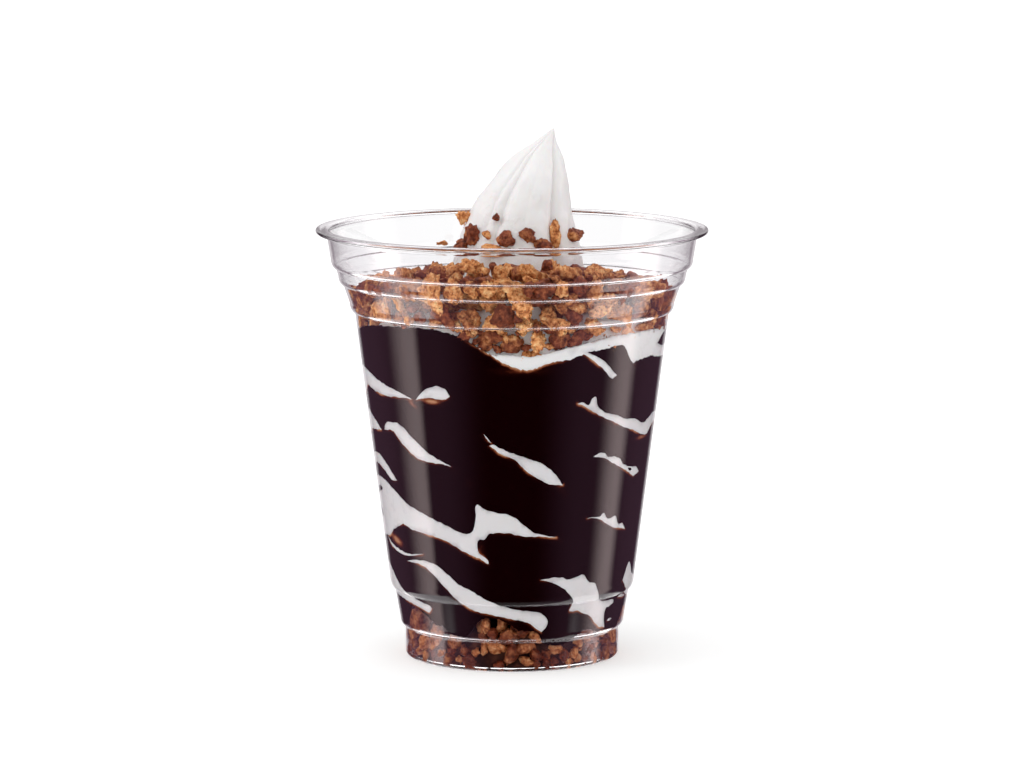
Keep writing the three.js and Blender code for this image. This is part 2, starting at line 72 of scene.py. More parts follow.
def makeCamera():
    data = bpy.data.cameras.new("camera")
    data.lens = cameraView["lens"]
    data.sensor_width = cameraView["sensorWidth"]
    data.clip_start = cameraView["clipStart"]
    camera = bpy.data.objects.new("camera", data)
    camera.location = (0, -cameraView["distance"], cameraView["height"])
    camera.rotation_euler = (math.radians(90 - cameraView["pitchDown"]), 0, 0)
    bpy.context.scene.collection.objects.link(camera)
    bpy.context.scene.camera = camera


makeCamera()
print("camera ready")


class Field:  # a socket that can be used in a sum
    def __init__(self, tree, socket):
        self.tree = tree
        self.socket = socket

    def maths(self, operation, first, second=0.0):
        return makeNode(self.tree, "ShaderNodeMath", {"operation": operation}, {0: first, 1: second})

    def __add__(self, other):
        return self.maths("ADD", self, other)

    __radd__ = __add__

    def __sub__(self, other):
        return self.maths("SUBTRACT", self, other)

    def __rsub__(self, other):
        return self.maths("SUBTRACT", other, self)

    def __mul__(self, other):
        return self.maths("MULTIPLY", self, other)

    __rmul__ = __mul__

    def __gt__(self, other):
        return self.maths("GREATER_THAN", self, other)

    def absolute(self):
        return self.maths("ABSOLUTE", self)

    def smooth(self, low, high):
        settings = {"interpolation_type": "SMOOTHSTEP"}
        return makeNode(self.tree, "ShaderNodeMapRange", settings, {0: self, 1: low, 2: high})


def makeNode(tree, kind, settings=None, inputs=None, output=0):
    node = tree.nodes.new(kind)
    for key, value in (settings or {}).items():
        if key == "stops":
            ramp = node.color_ramp
            while len(ramp.elements) < len(value):
                ramp.elements.new(1)
            for element, (position, colour) in zip(ramp.elements, value):
                element.position = position
                element.color = (*colour, 1)
        else:
            setattr(node, key, value)
    for key, value in (inputs or {}).items():
        if isinstance(value, Field):
            tree.links.new(value.socket, node.inputs[key])
        else:
            node.inputs[key].default_value = value
    if node.outputs:
        return Field(tree, node.outputs[output])


def startMaterial(name):
    material = bpy.data.materials.new(name)
    material.use_nodes = True
    material.node_tree.nodes.clear()
    return material, material.node_tree


def finishMaterial(tree, shader):
    makeNode(tree, "ShaderNodeOutputMaterial", None, {"Surface": shader})


def mixColours(tree, share, first, second, blend="MIX"):
    settings = {"data_type": "RGBA", "blend_type": blend}
    first = first if isinstance(first, Field) else (*first, 1)
    second = second if isinstance(second, Field) else (*second, 1)
    return makeNode(tree, "ShaderNodeMix", settings, {0: share, 6: first, 7: second}, 2)


# Lines round the cup are in millimetres and degrees: azimuth 0 is the front, 90 is +X
def lineOf(points, column=1):
    table = np.array(points, float)
    return lambda at: np.interp(at, table[:, 0], table[:, column])


def roundLine(points, step=2.0):  # closes round the cup
    table = np.array(points, float)
    turned = np.concatenate([table[:, 0] - 360, table[:, 0], table[:, 0] + 360])
    heights = np.tile(table[:, 1], 3)
    knots = np.arange(turned[0], turned[-1], step)
    soft = np.convolve(np.interp(knots, turned, heights), [0.25, 0.5, 0.25], "same")
    return lambda azimuth: np.interp(azimuth, knots, soft)


def onCircle(azimuth, radius, height):
    turn = np.radians(azimuth)
    return np.stack(np.broadcast_arrays(radius * np.sin(turn), -radius * np.cos(turn), height), -1)


def smoothCurve(points, step):  # a curve through points in the plane, with even steps
    points = np.array(points, float)
    ends = [2 * points[0] - points[1], *points, 2 * points[-1] - points[-2]]
    result = []
    for before, start, end, after in zip(ends, ends[1:], ends[2:], ends[3:]):
        count = max(1, round(float(np.linalg.norm(end - start)) / step))
        reach = np.linalg.norm(end - start)
        startPull = (end - before) * reach / max(np.linalg.norm(end - before), 1e-6)
        endPull = (after - start) * reach / max(np.linalg.norm(after - start), 1e-6)
        for i in range(count):
            t = i / count
            result.append(
                (2 * t**3 - 3 * t**2 + 1) * start
                + (t**3 - 2 * t**2 + t) * startPull
                + (3 * t**2 - 2 * t**3) * end
                + (t**3 - t**2) * endPull
            )
    return np.array([*result, points[-1]])


def makeObject(name, vertices, faces, smooth=True):
    mesh = bpy.data.meshes.new(name)
    mesh.from_pydata([tuple(v) for v in vertices], [], [tuple(f) for f in faces])
    mesh.validate()
    mesh.update()
    mesh.polygons.foreach_set("use_smooth", [smooth] * len(mesh.polygons))
    piece = bpy.data.objects.new(name, mesh)
    bpy.context.scene.collection.objects.link(piece)
    return piece


def addAttribute(piece, name, values):
    attribute = piece.data.attributes.new(name, "FLOAT", "POINT")
    attribute.data.foreach_set("value", np.asarray(values, np.float32))


def turnedFaces(columns, rows):
    faces = []
    for i in range(columns):
        for j in range(rows - 1):
            a = i * rows + j
            b = (i + 1) % columns * rows + j
            faces.append((a, b, b + 1, a + 1))
    return faces


def turnedMesh(profile, columns):  # a closed lathe from (radius, height) points; ends on the axis
    inner = [(r, z) for r, z in profile if r > 0]
    azimuths = 360 * np.arange(columns) / columns
    rings = [onCircle(azimuth, np.array(inner)[:, 0], np.array(inner)[:, 1]) for azimuth in azimuths]
    vertices = list(np.concatenate(rings))
    rows = len(inner)
    faces = turnedFaces(columns, rows)
    for atStart in (True, False):
        height = profile[0][1] if atStart else profile[-1][1]
        vertices.append(np.array((0, 0, height)))
        pole = len(vertices) - 1
        edge = 0 if atStart else rows - 1
        for i in range(columns):
            pair = (i * rows + edge, (i + 1) % columns * rows + edge)
            faces.append((pole, pair[1], pair[0]) if atStart else (pole, *pair))
    return np.array(vertices), faces


def offsetLine(points, distance):  # moved to the left of its direction, mitred
    points = np.array(points, float)
    along = np.diff(points, axis=0)
    along /= np.linalg.norm(along, axis=1)[:, None]
    normals = np.stack([-along[:, 1], along[:, 0]], 1)
    first = np.concatenate([normals[:1], normals])
    second = np.concatenate([normals, normals[-1:]])
    mitre = first + second
    mitre /= (mitre * first).sum(1)[:, None]
    return points + mitre * distance


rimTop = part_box("cup")[1].z / mm
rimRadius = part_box("cup")[1].y / mm

cupShape = {
    "wall": 0.45,
    "footRadius": 26.8,
    "footHeight": 7.0,
    "footRounding": 1.0,
    "roundingSteps": 6,
    "footRise": 0.9,  # of the floor's middle
    "floorThickness": 0.5,
    "mouthRadius": 46.1,
    "lip": 1.05,  # height of the lip
    "columns": 224,
    "shoulderSteps": 8,
    "nearRow": 0.25,
    "bite": 0.08,  # how far the contents reach into the wall
    # Ledges from the foot up: a crease, then a round shoulder over it
    "ledges": [
        {"height": 7.7, "radius": 26.95, "rise": 1.6, "reach": 1.1},
        {"height": 17.1, "radius": 29.4, "rise": 3.2, "reach": 1.3},
        {"height": 86.9, "radius": 39.2, "rise": 2.2, "reach": 1.3},
        {"height": 93.9, "radius": 42.15, "rise": 1.9, "reach": 1.2},
        {"height": 98.0, "radius": 43.9, "rise": 2.0, "reach": 1.3},
    ],
}


def cupOutside():  # from the foot to under the lip, as (radius, height)
    shape = cupShape
    turns = np.radians(np.linspace(0, 90, shape["roundingSteps"] + 1))
    rounding = shape["footRounding"]
    corner = shape["footRadius"] - rounding
    line = [(corner + rounding * math.sin(t), rounding * (1 - math.cos(t))) for t in turns]
    line.append((shape["footRadius"], shape["footHeight"]))
    for ledge in shape["ledges"]:
        for turn in np.radians(np.linspace(0, 90, shape["shoulderSteps"] + 1)):
            radius = ledge["radius"] + ledge["reach"] * math.sin(turn)
            line.append((radius, ledge["height"] + ledge["rise"] * (1 - math.cos(turn))))
    line.append((shape["mouthRadius"], rimTop - 2 * shape["lip"]))
    return withCloseRows(line)


def withCloseRows(line):  # rows next to each crease keep the walls between them straight in the shading
    result = [line[0]]
    for start, end in zip(np.array(line), np.array(line)[1:]):
        length = np.linalg.norm(end - start)
        near = cupShape["nearRow"]
        if length > 4 * near:
            step = (end - start) / length * near
            result += [tuple(start + step), tuple(end - step)]
        result.append(tuple(end))
    return result


outside = cupOutside()
insideWall = offsetLine(outside, cupShape["wall"])[cupShape["roundingSteps"]:]
insideWall[:, 1] = np.maximum.accumulate(insideWall[:, 1] + 1e-4 * np.arange(len(insideWall)))


def foodRadius(height):
    return np.interp(height, insideWall[:, 1], insideWall[:, 0]) + cupShape["bite"]


def makeCup():
    shape = cupShape
    lip = shape["lip"]
    mouth = shape["mouthRadius"]
    turns = np.radians(np.linspace(-90, 90, 9))
    half = lip / 2
    edge = [
        (rimRadius - half + half * math.cos(t), rimTop - half + half * math.sin(t)) for t in turns
    ]
    underLip = [
        (mouth + 0.12, rimTop - lip - 0.25),
        (mouth + 0.4, rimTop - lip),
        (rimRadius - 1.2, rimTop - lip),
    ]
    mouthEdge = [(mouth + 0.25, rimTop), (mouth - 0.15, rimTop - 0.12), (mouth - 0.42, rimTop - 0.5)]
    floor = [
        (shape["footRadius"] - 1.9, 0.62),
        (shape["footRadius"] - 4.5, 0.85),
        (0, shape["footRise"] + shape["floorThickness"]),
    ]
    under = [(0, shape["footRise"]), (shape["footRadius"] - 5, 0.35), (shape["footRadius"] - 3, 0)]
    profile = [*under, *outside, *underLip, *edge, *mouthEdge, *insideWall[::-1], *floor]
    vertices, faces = turnedMesh([(float(r), float(z)) for r, z in profile], shape["columns"])
    cup = makeObject("clearCup", vertices * mm, faces)
    cup.data.materials.append(clearPlastic())
    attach(cup, "root")
    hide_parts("cup")


def clearPlastic():
    material, tree = startMaterial("clearPlastic")
    paths = tree.nodes.new("ShaderNodeLightPath").outputs
    shadow, diffuse = [Field(tree, paths[f"Is {kind} Ray"]) for kind in ("Shadow", "Diffuse")]
    glass = makeNode(tree, "ShaderNodeBsdfPrincipled", None, {
        "Base Color": (0.985, 0.985, 0.99, 1),
        "Roughness": 0.0,
        "IOR": 1.5,
        "Transmission Weight": 1.0,
    })
    through = makeNode(tree, "ShaderNodeBsdfTransparent", None, {"Color": (0.97, 0.97, 0.97, 1)})
    passing = (shadow + diffuse).smooth(0, 1)  # light that comes back from the food isn't bent
    finishMaterial(tree, makeNode(tree, "ShaderNodeMixShader", None, {0: passing, 1: glass, 2: through}))
    return material


makeCup()
print("cup ready")


# What lies against the wall: sauce, with the soft serve showing through in streaks
wallLayer = {
    "perDegree": 0.6,  # millimetres along the wall for one degree, for an even mesh
    "edgeStep": 0.45,
    "nearStep": 1.0,  # of the mesh near an edge
    "farStep": 2.6,
    "near": 3.0,
    "sauceDepth": 0.9,
    "padDepth": 1.6,
    "ragged": 0.24,  # how far an edge strays
    "roundStray": 1.6,  # how much further the edges that go all round stray
    "strayRing": 60,
    "margin": 12,  # the flat mesh goes this far past the turn, to either side
    "rowStep": 1.4,  # along the cup's creases
    "rows": (6.5, 21),  # heights between which the mesh follows the creases
    "seam": (2, 92, 60),  # from, to, points
    "belowStreak": (0.35, 0.8, 1.4),  # more points under an edge, where the sauce may be thin
    "belowTop": (0.4, 0.9, 1.6),
    "gaps": (0.42, 0.2, 0.3),  # free points keep this far from edges and from each other
}
halfTurn = 180 * wallLayer["perDegree"]
wallReach = halfTurn + wallLayer["margin"]

# Edges that go all round, as (azimuth, height)
wallEdges = {
    "sauceTop": [
        (-90, 82.5), (-80, 84), (-65, 85.8), (-58, 86.4), (-50, 86.7), (-30, 86.8), (-24, 86), (-20, 85.2),
        (-14, 83), (-8, 80.8), (-4, 79), (0, 77.8), (4, 77), (8, 77), (12, 78.2), (16, 79), (23, 79.3),
        (28, 80.8), (36, 81.2), (42, 82), (46, 81.8), (49, 79.4), (50.5, 76), (52, 76.5), (55, 77.8),
        (58, 77.3), (65, 77.9), (70, 77), (90, 75.8), (130, 77), (150, 80), (165, 83), (200, 86), (240, 84),
    ],
    "sauceFoot": [
        (-90, 8.3), (-80, 8.3), (-70, 9), (-66, 10.5), (-60, 14.5), (-57, 14.8), (-50, 13.5), (-43, 11.3),
        (-39.5, 9.8), (-38, 12.6), (-36, 9.6), (-32, 9), (-24, 8.3), (-20, 11.5), (-15, 14), (-7, 13.8),
        (0, 12.3), (2, 10.8), (14, 10.5), (15.5, 7), (20, 6.7), (26, 6.2), (33, 7.2), (34.5, 9),
        (42, 10), (50, 8.8), (62, 8.8), (70, 8.4), (76, 13.5), (90, 14.4), (100, 12.5), (118, 9), (140, 8.5),
        (165, 12), (185, 12.6), (205, 9.5), (225, 9), (248, 11),
    ],
    "whiteTop": [
        (-100, 81.6), (-90, 82), (-65, 85.2), (-40, 86.4), (-30, 86.3), (-24, 85.7), (-18, 84.4), (-14, 82.8),
        (-10, 81.4), (-8, 80.6), (-6, 80.4), (-4, 80.8), (2, 80.4), (8, 80.2), (14, 81.2), (22, 82.2),
        (30, 83.2), (40, 84.2), (50, 84.4), (58, 84.4), (75, 84), (90, 83.6), (110, 81), (130, 81),
        (165, 84), (200, 86.4), (240, 84), (250, 83),
    ],
}

# Streaks of soft serve: upper and lower edge, as (azimuth, height), from tip to tip
streaks = {
    "first": (
        [(-114, 74.4), (-104, 74.9), (-90, 73.8), (-80, 74), (-72, 73.2), (-60, 71.2), (-50, 69.9),
         (-42, 68.4)],
        [(-114, 74.4), (-98, 68.6), (-90, 66.5), (-83, 67), (-76, 69.5), (-70, 69), (-60, 68.2), (-50, 68.4),
         (-42, 68.4)],
    ),
    "blob": (
        [(-40, 68.3), (-37.5, 70), (-34, 71.5), (-29.5, 72.3), (-26.3, 71.7), (-24.3, 70)],
        [(-40, 68.3), (-35, 69.1), (-30, 69), (-26.8, 69), (-24.3, 70)],
    ),
    "second": (
        [(-112, 64.3), (-90, 62.8), (-82, 63.2), (-75, 62), (-70, 60.7), (-65.5, 59)],
        [(-112, 64.3), (-98, 57.6), (-90, 56.6), (-83, 57.3), (-78, 58.3), (-71, 58.6), (-65.5, 59)],
    ),
    "third": (
        [(-62.5, 59.3), (-61.5, 60.7), (-57.5, 61.6), (-52, 61.6), (-48, 60.6), (-44, 58.7), (-36, 55.2),
         (-31, 53.7), (-25.5, 52.3)],
        [(-62.5, 59.3), (-56, 59.5), (-52, 57.5), (-48, 55.8), (-43, 53.8), (-38, 53), (-32, 52.8),
         (-25.5, 52.3)],
    ),
    "arch": (
        [(-108, 50.5), (-90, 51), (-80, 52.2), (-73, 52.5), (-68, 51.6), (-62, 49.3), (-57, 46.8)],
        [(-108, 50.5), (-99, 48.2), (-90, 47.8), (-80, 49.5), (-74, 49.7), (-67, 48.4), (-61, 46.6),
         (-57, 46.8)],
    ),
    "largest": (
        [(-134, 48.3), (-105, 45.6), (-90, 45.2), (-80, 46.2), (-70, 46.2), (-62, 44.7), (-51, 41.3),
         (-40, 39.2), (-30, 37.2), (-23, 35.6), (-19.5, 35.3), (-17, 36.6), (-15.6, 40), (-15.2, 42.8),
         (-12, 42), (-6, 41), (0, 40.2), (5, 38), (10, 35.9), (13, 35.4), (19.5, 34.6)],
        [(-134, 48.3), (-112, 36), (-100, 32.2), (-90, 31.2), (-75, 31.4), (-70, 32.1), (-66, 33.6),
         (-63.5, 34.2), (-59, 35.3), (-55, 35.9), (-50, 35), (-36, 34), (-30, 33.1), (-24, 31.5),
         (-19, 30.2), (-14.5, 29.3), (-10.5, 28.3), (-14.4, 30.6), (-15.4, 32), (-14.8, 34),
         (-12, 34.4), (-9.5, 35.7), (-2, 36), (2, 35.4), (8, 35.1), (19.5, 34.6)],
    ),
    "curl": (
        [(-76, 31.3), (-70, 30), (-60, 28.7), (-54, 28.6), (-44, 29)],
        [(-76, 31.3), (-70, 29), (-60, 27.9), (-54, 27.9), (-44, 29)],
    ),
    "lowerLeft": (
        [(-56, 26.5), (-48, 27.3), (-38, 27), (-31, 24.8), (-26, 22.6), (-19, 20.9), (-12, 18.8), (0, 16.5),
         (12, 15.5), (16.5, 14.3), (18, 12.9), (17.2, 11.4), (15, 10.3)],
        [(-56, 26.5), (-46, 26.2), (-41, 25), (-34, 21.8), (-26, 18), (-20, 16), (-12, 15), (0, 13.8),
         (8, 12.8), (12, 11.3), (15, 10.3)],
    ),
    "footLeft": (
        [(-122, 29.9), (-104, 25.6), (-90, 24.3), (-83, 24.5), (-75, 22.8), (-70, 20.8), (-60, 17.8),
         (-50, 16.1), (-45.5, 15.9), (-43.5, 15)],
        [(-122, 29.9), (-106, 19.5), (-96, 16.2), (-80, 16.2), (-60, 15.4), (-50, 14.4), (-45.5, 14),
         (-43.5, 15)],
    ),
    "centre": (
        [(-9, 58), (-7.5, 58.4), (-4, 57.2), (0, 56.2), (8, 54.4), (13, 53.2), (18, 50.6), (21.5, 47.8)],
        [(-9, 58), (-4, 55.8), (1, 54.5), (6, 51.5), (11, 49.6), (16, 48.1), (21.5, 47.8)],
    ),
    "centreHair": (
        [(-11.2, 60.9), (-9.6, 59.9), (-8.2, 58.6)],
        [(-11.2, 60.9), (-10, 59.6), (-8.2, 58.6)],
    ),
    "right": (
        [(26, 68.1), (28.5, 68.3), (31, 67.6), (32.2, 69), (33.8, 69.5), (35.2, 67), (40, 65), (46, 64.1),
         (50, 63), (57, 62.5), (65, 60.8), (70, 61.6), (76, 62.4), (90, 62), (112, 57)],
        [(26, 68.1), (30, 66.9), (36, 64.8), (50, 61), (58, 59.4), (65, 58), (70, 57.5), (76, 59.1),
         (80, 59.8), (90, 59.2), (112, 57)],
    ),
    "rightLower": (
        [(35, 54.3), (37.5, 55.1), (40.5, 55), (43, 53.9), (47, 53.7), (50, 52.8), (54, 51), (60, 50.2),
         (63.5, 49.9), (67, 48.3)],
        [(35, 54.3), (40, 53.8), (45, 52.3), (50, 51), (58, 48.8), (62, 47.6), (67, 48.3)],
    ),
    "dash": (
        [(34, 38.8), (41, 38.9), (43.5, 39.5), (46, 38), (51, 38.2), (54, 36), (57, 36.1), (60, 34.3)],
        [(34, 38.8), (41, 38.3), (44, 37.2), (48, 36), (52, 35.3), (60, 34.3)],
    ),
    "star": (
        [(13, 23.9), (20, 24.3), (24, 24.1), (26, 23.6), (30, 23.9), (34.5, 24.4), (37, 23), (39, 22.1),
         (42, 21.7), (44, 20), (46, 17.8), (50, 16.6), (58, 16.4), (60.5, 15.7), (57, 14.8), (54, 14.2),
         (53.7, 12), (55.5, 9.4)],
        [(13, 23.9), (18, 23.2), (24, 21.5), (27.5, 19.8), (30.2, 18), (30.4, 16.6), (29.4, 15.2), (34, 15),
         (38, 14.2), (43, 13), (46, 11.5), (50, 10.1), (55.5, 9.4)],
    ),
    "footRight": (
        [(64, 20.8), (67, 23.8), (69.5, 25.2), (73, 23.5), (77, 21.5), (90, 20), (116, 14.7)],
        [(64, 20.8), (68, 19), (72, 17.3), (78, 16), (90, 14.8), (116, 14.7)],
    ),
    "footDash": (
        [(64.5, 16.5), (69, 17), (75.5, 16.1)],
        [(64.5, 16.5), (70, 16), (75.5, 16.1)],
    ),
    "footSpot": (
        [(57, 10.9), (59, 11.5), (61.5, 11.3)],
        [(57, 10.9), (59.5, 10.8), (61.5, 11.3)],
    ),
    "slip": (
        [(23, 81.2), (28, 80.9), (33, 79.6), (37, 78), (41, 75.6), (43.6, 74.2)],
        [(23, 81.2), (28, 80.1), (33, 77.9), (37, 75.9), (41, 73.7), (43.6, 74.2)],
    ),
}
# Spots of sauce in the white
sauceIslands = [
    [(70, 80.4), (76, 82.4), (84, 83), (94, 81.8), (88, 79.8), (78, 79.3)],
    [(-96, 42), (-84, 43.2), (-74.5, 43.6), (-80, 42.2), (-90, 41)],
    [(-96, 38.6), (-86, 38.3), (-79, 36.4), (-86, 36.9)],
    [(54.6, 51.3), (56.6, 51.7), (57.6, 51), (55.8, 50.5)],
    [(56.4, 50.1), (58.2, 50), (59.8, 49.4), (57.8, 49.3)],
    [(31, 80.5), (35, 79.9), (38, 79), (34, 79.4)],
]

# Streaks behind, by rule: each falls as it goes round
backStreaks = {
    "from": 116,
    "step": 14,
    "heights": [70, 46, 29, 58, 37, 74, 23, 59],
    "sweep": (26, 36),
    "fall": (5, 8),
    "width": (3, 5.6),
    "endWidth": 0.6,
    "sway": 1.2,
    "seed": 7,
}

sauceFoot, sauceTop, whiteTop = [roundLine(wallEdges[name]) for name in ("sauceFoot", "sauceTop", "whiteTop")]


def seeded(seed):  # even draws between 0 and 1
    state = seed
    while True:
        state = (state * 1664525 + 1013904223) % 4294967296
        yield state / 4294967296


def streaksBehind():
    rule = backStreaks
    draw = seeded(rule["seed"])
    result = []
    for i, height in enumerate(rule["heights"]):
        sweep, fall, width = [low + (high - low) * next(draw) for low, high in
                              (rule["sweep"], rule["fall"], rule["width"])]
        edges = ([], [])
        for t in np.linspace(0, 1, 9):
            middle = height - fall * t + rule["sway"] * math.sin(2 * math.pi * t)
            half = (rule["endWidth"] * (0 < t < 1) + width * math.sin(math.pi * t ** 0.8) ** 1.7) / 2
            azimuth = rule["from"] + i * rule["step"] + sweep * t
            edges[0].append((azimuth, middle + half))
            edges[1].append((azimuth, middle - half))
        result.append(edges)
    return result


def ragged(curve, seed):  # lets an edge stray a little between its ends
    result = curve.copy()
    for i in range(1, len(curve) - 1):
        place = Vector((curve[i][0] * 0.75, curve[i][1] * 0.75, seed))
        result[i][1] += wallLayer["ragged"] * noise.fractal(place, 1.0, 2.0, 3)
    return result


def unrolled(points):
    return np.array(points, float) * (wallLayer["perDegree"], 1)


def outlineOf(edges, seed):
    step = wallLayer["edgeStep"]
    upper, lower = [ragged(smoothCurve(unrolled(edge), step), seed) for edge in edges]
    return np.concatenate([upper, lower[-2:0:-1]]), lower


def insideOutline(points, outline):
    inside = np.zeros(len(points), bool)
    low, high = outline.min(0), outline.max(0)
    near = ((points >= low) & (points <= high)).all(1)
    x, y = points[near, 0], points[near, 1]
    crossing = np.zeros(len(x), bool)
    for (x0, y0), (x1, y1) in zip(outline, np.roll(outline, -1, 0)):
        if y0 != y1:
            crossing ^= ((y0 > y) != (y1 > y)) & (x < (x1 - x0) * (y - y0) / (y1 - y0) + x0)
    inside[near] = crossing
    return inside


def nearestDistance(points, others):
    result = np.empty(len(points))
    for start in range(0, len(points), 2000):
        part = points[start:start + 2000]
        gaps = part[:, None] - others[None]
        result[start:start + 2000] = np.sqrt((gaps**2).sum(2).min(1))
    return result


def wallLines():  # all edges on the unrolled wall, each also a turn to either side
    shapes = [outlineOf(edges, 10 + i) for i, edges in enumerate([*streaks.values(), *streaksBehind()])]
    outlines = [(outline, True) for outline, lower in shapes]
    outlines += [(smoothCurve(unrolled([*island, island[0]]), 0.5)[:-1], False) for island in sauceIslands]
    shifts = [np.array((shift * 2 * halfTurn, 0)) for shift in (-1, 0, 1)]
    outlines = [(outline + shift, isWhite) for outline, isWhite in outlines for shift in shifts]
    lowers = [lower + shift for outline, lower in shapes for shift in shifts]
    return outlines, lowers


def roundEdges(along):  # the sauce's foot and top, and the top of the white
    style = wallLayer
    result = []
    for line, seed in ((sauceFoot, 1), (sauceTop, 2), (whiteTop, 3)):
        curve = np.stack([along, line(along / style["perDegree"])], 1)
        for i, u in enumerate(along):
            turn = u * math.pi / halfTurn
            place = Vector((math.sin(turn) * style["strayRing"], math.cos(turn) * style["strayRing"], seed))
            curve[i, 1] += style["ragged"] * style["roundStray"] * noise.fractal(place, 1.0, 2.0, 3)
        result.append(curve)
    return result


def onWall(curve):
    return curve[np.abs(curve[:, 0]) < wallReach]


def meshChains(outlines, rounds):  # lines that the mesh keeps, each with whether it closes
    style = wallLayer
    chains = [(onWall(outline), len(onWall(outline)) == len(outline)) for outline, isWhite in outlines]
    chains = [(chain, closed) for chain, closed in chains if len(chain) > 3]
    chains += [(curve, False) for curve in rounds]
    low, high, count = style["seam"]
    for side in (-1, 1):
        chains.append((np.stack([np.full(count, side * halfTurn), np.linspace(low, high, count)], 1), False))
    along = np.arange(-wallReach, wallReach, style["rowStep"])
    for r, z in insideWall:
        if style["rows"][0] < z < style["rows"][1]:
            chains.append((np.stack([along, np.full(len(along), z)], 1), False))
    return chains


def chainEdges(chains):
    edges = []
    start = 0
    for chain, closed in chains:
        count = len(chain)
        edges += [(start + i, start + i + 1) for i in range(count - 1)]
        if closed:
            edges.append((start + count - 1, start))
        start += count
    return edges


def freePoints(along, fixed, lowers, topEdge):  # closer together near an edge
    style = wallLayer
    edgeGap, extraGap, nearGap = style["gaps"]
    below = [onWall(lower[::2] - (0, drop)) for lower in lowers for drop in style["belowStreak"]]
    belowTop = np.concatenate([topEdge - (0, drop) for drop in style["belowTop"]])
    extra = np.concatenate([*below, belowTop[::2]])
    extra = extra[nearestDistance(extra, fixed) > extraGap]
    near = gridPoints(along, style["nearStep"])
    farness = nearestDistance(near, fixed)
    near = near[(farness > edgeGap) & (farness < style["near"])]
    near = near[nearestDistance(near, extra) > nearGap]
    far = gridPoints(along, style["farStep"])
    far = far[nearestDistance(far, fixed) >= style["near"]]
    return [near, far, extra]


def layWall():
    outlines, lowers = wallLines()
    along = np.arange(-wallReach, wallReach + 0.01, wallLayer["edgeStep"])
    rounds = roundEdges(along)
    chains = meshChains(outlines, rounds)
    fixed = np.concatenate([chain for chain, closed in chains])
    points = np.concatenate([fixed, *freePoints(along, fixed, lowers, rounds[1])])
    found = delaunay_2d_cdt([Vector(p) for p in points], chainEdges(chains), [], 0, 1e-5)
    flat = np.array([tuple(v) for v in found[0]])
    triangles = np.array([tuple(f) for f in found[2]])
    centres = flat[triangles].mean(1)
    inStreak = np.zeros(len(centres), bool)
    inIsland = np.zeros(len(centres), bool)
    for outline, isWhite in outlines:
        inside = insideOutline(centres, outline)
        if isWhite:
            inStreak |= inside
        else:
            inIsland |= inside
    foot, top, white = [lineOf(curve) for curve in rounds]
    u, z = centres.T
    within = (np.abs(u) < halfTurn) & (z > foot(u)) & (z < white(u))
    showsWhite = (inStreak | (z > top(u))) & ~inIsland
    return {
        "flat": flat,
        "sauce": triangles[within & ~showsWhite],
        "white": triangles[within & showsWhite],
        "lowers": lowers,
        "outlines": np.concatenate([outline for outline, isWhite in outlines]),
        "top": rounds[1],
    }


def gridPoints(along, step):
    rows = np.arange(3, 90, step * 0.87)
    columns = np.arange(along[0], along[-1], step)
    return np.array([(u + (j % 2) * step / 2, z) for j, z in enumerate(rows) for u in columns])


def thickened(flat, triangles, depth):  # a closed shell on the wall from part of the flat mesh
    used, index = np.unique(triangles, return_inverse=True)
    triangles = index.reshape(-1, 3)
    u, z = flat[used].T
    azimuth = u / wallLayer["perDegree"]
    outer = onCircle(azimuth, foodRadius(z), z)
    inner = onCircle(azimuth, foodRadius(z) - depth, z)
    count = len(used)
    edges = dict.fromkeys(pair for a, b, c in triangles for pair in ((a, b), (b, c), (c, a)))
    rim = [(a, b) for a, b in edges if (b, a) not in edges]
    faces = [tuple(t) for t in triangles] + [tuple(t[::-1] + count) for t in triangles]
    for a, b in rim:
        faces += [(b, a, a + count), (b, a + count, b + count)]
    return np.concatenate([outer, inner]), faces, used


def weldSeam(piece):
    shape = bmesh.new()
    shape.from_mesh(piece.data)
    bmesh.ops.remove_doubles(shape, verts=shape.verts, dist=0.01 * mm)
    shape.to_mesh(piece.data)
    shape.free()


wall = layWall()
print("wall laid out:", len(wall["flat"]), "points")


sauceLook = {
    "lowerGlow": 0.72,  # how far the light edge under a streak reaches
    "upperGlow": 0.35,  # and over it, as a share of that
    "glowStrength": (0.85, 0.3),  # under and over
    "topGlow": 0.75,
    "topStrength": 0.95,
    "topMiddle": (2, 22),  # azimuth and half width of the light edge at the top, in front
    "pool": (14.2, 16.4),  # from and to height, over the crunch in the foot
    # Places where the sauce is thin: azimuth, height, half width, half height, fall to the right, strength
    "thin": [
        (-32.5, 68.3, 5.5, 0.9, 0.0, 1.0),
        (-42, 67.2, 4.5, 1.0, 0.35, 0.75),
        (-19, 49, 9, 0.7, 0.42, 0.3),
        (-64, 31.2, 8, 1.5, 0.12, 0.95),
        (-13.6, 31.8, 1.6, 2.2, 0.0, 0.5),
        (19, 47.6, 6, 0.9, 0.45, 0.5),
        (23, 33.4, 5, 0.8, 0.25, 0.3),
        (66, 57.2, 9, 0.8, 0.0, 0.8),
        (40, 62.6, 8, 0.6, 0.3, 0.4),
        (3, 76.6, 14, 0.9, 0.0, 0.55),
        (-2, 12.6, 5, 1.0, 0.2, 0.35),
        (53, 76.3, 3, 1.0, 0.0, 0.5),
        (30, 9, 8, 0.8, 0.0, 0.3),
    ],
}


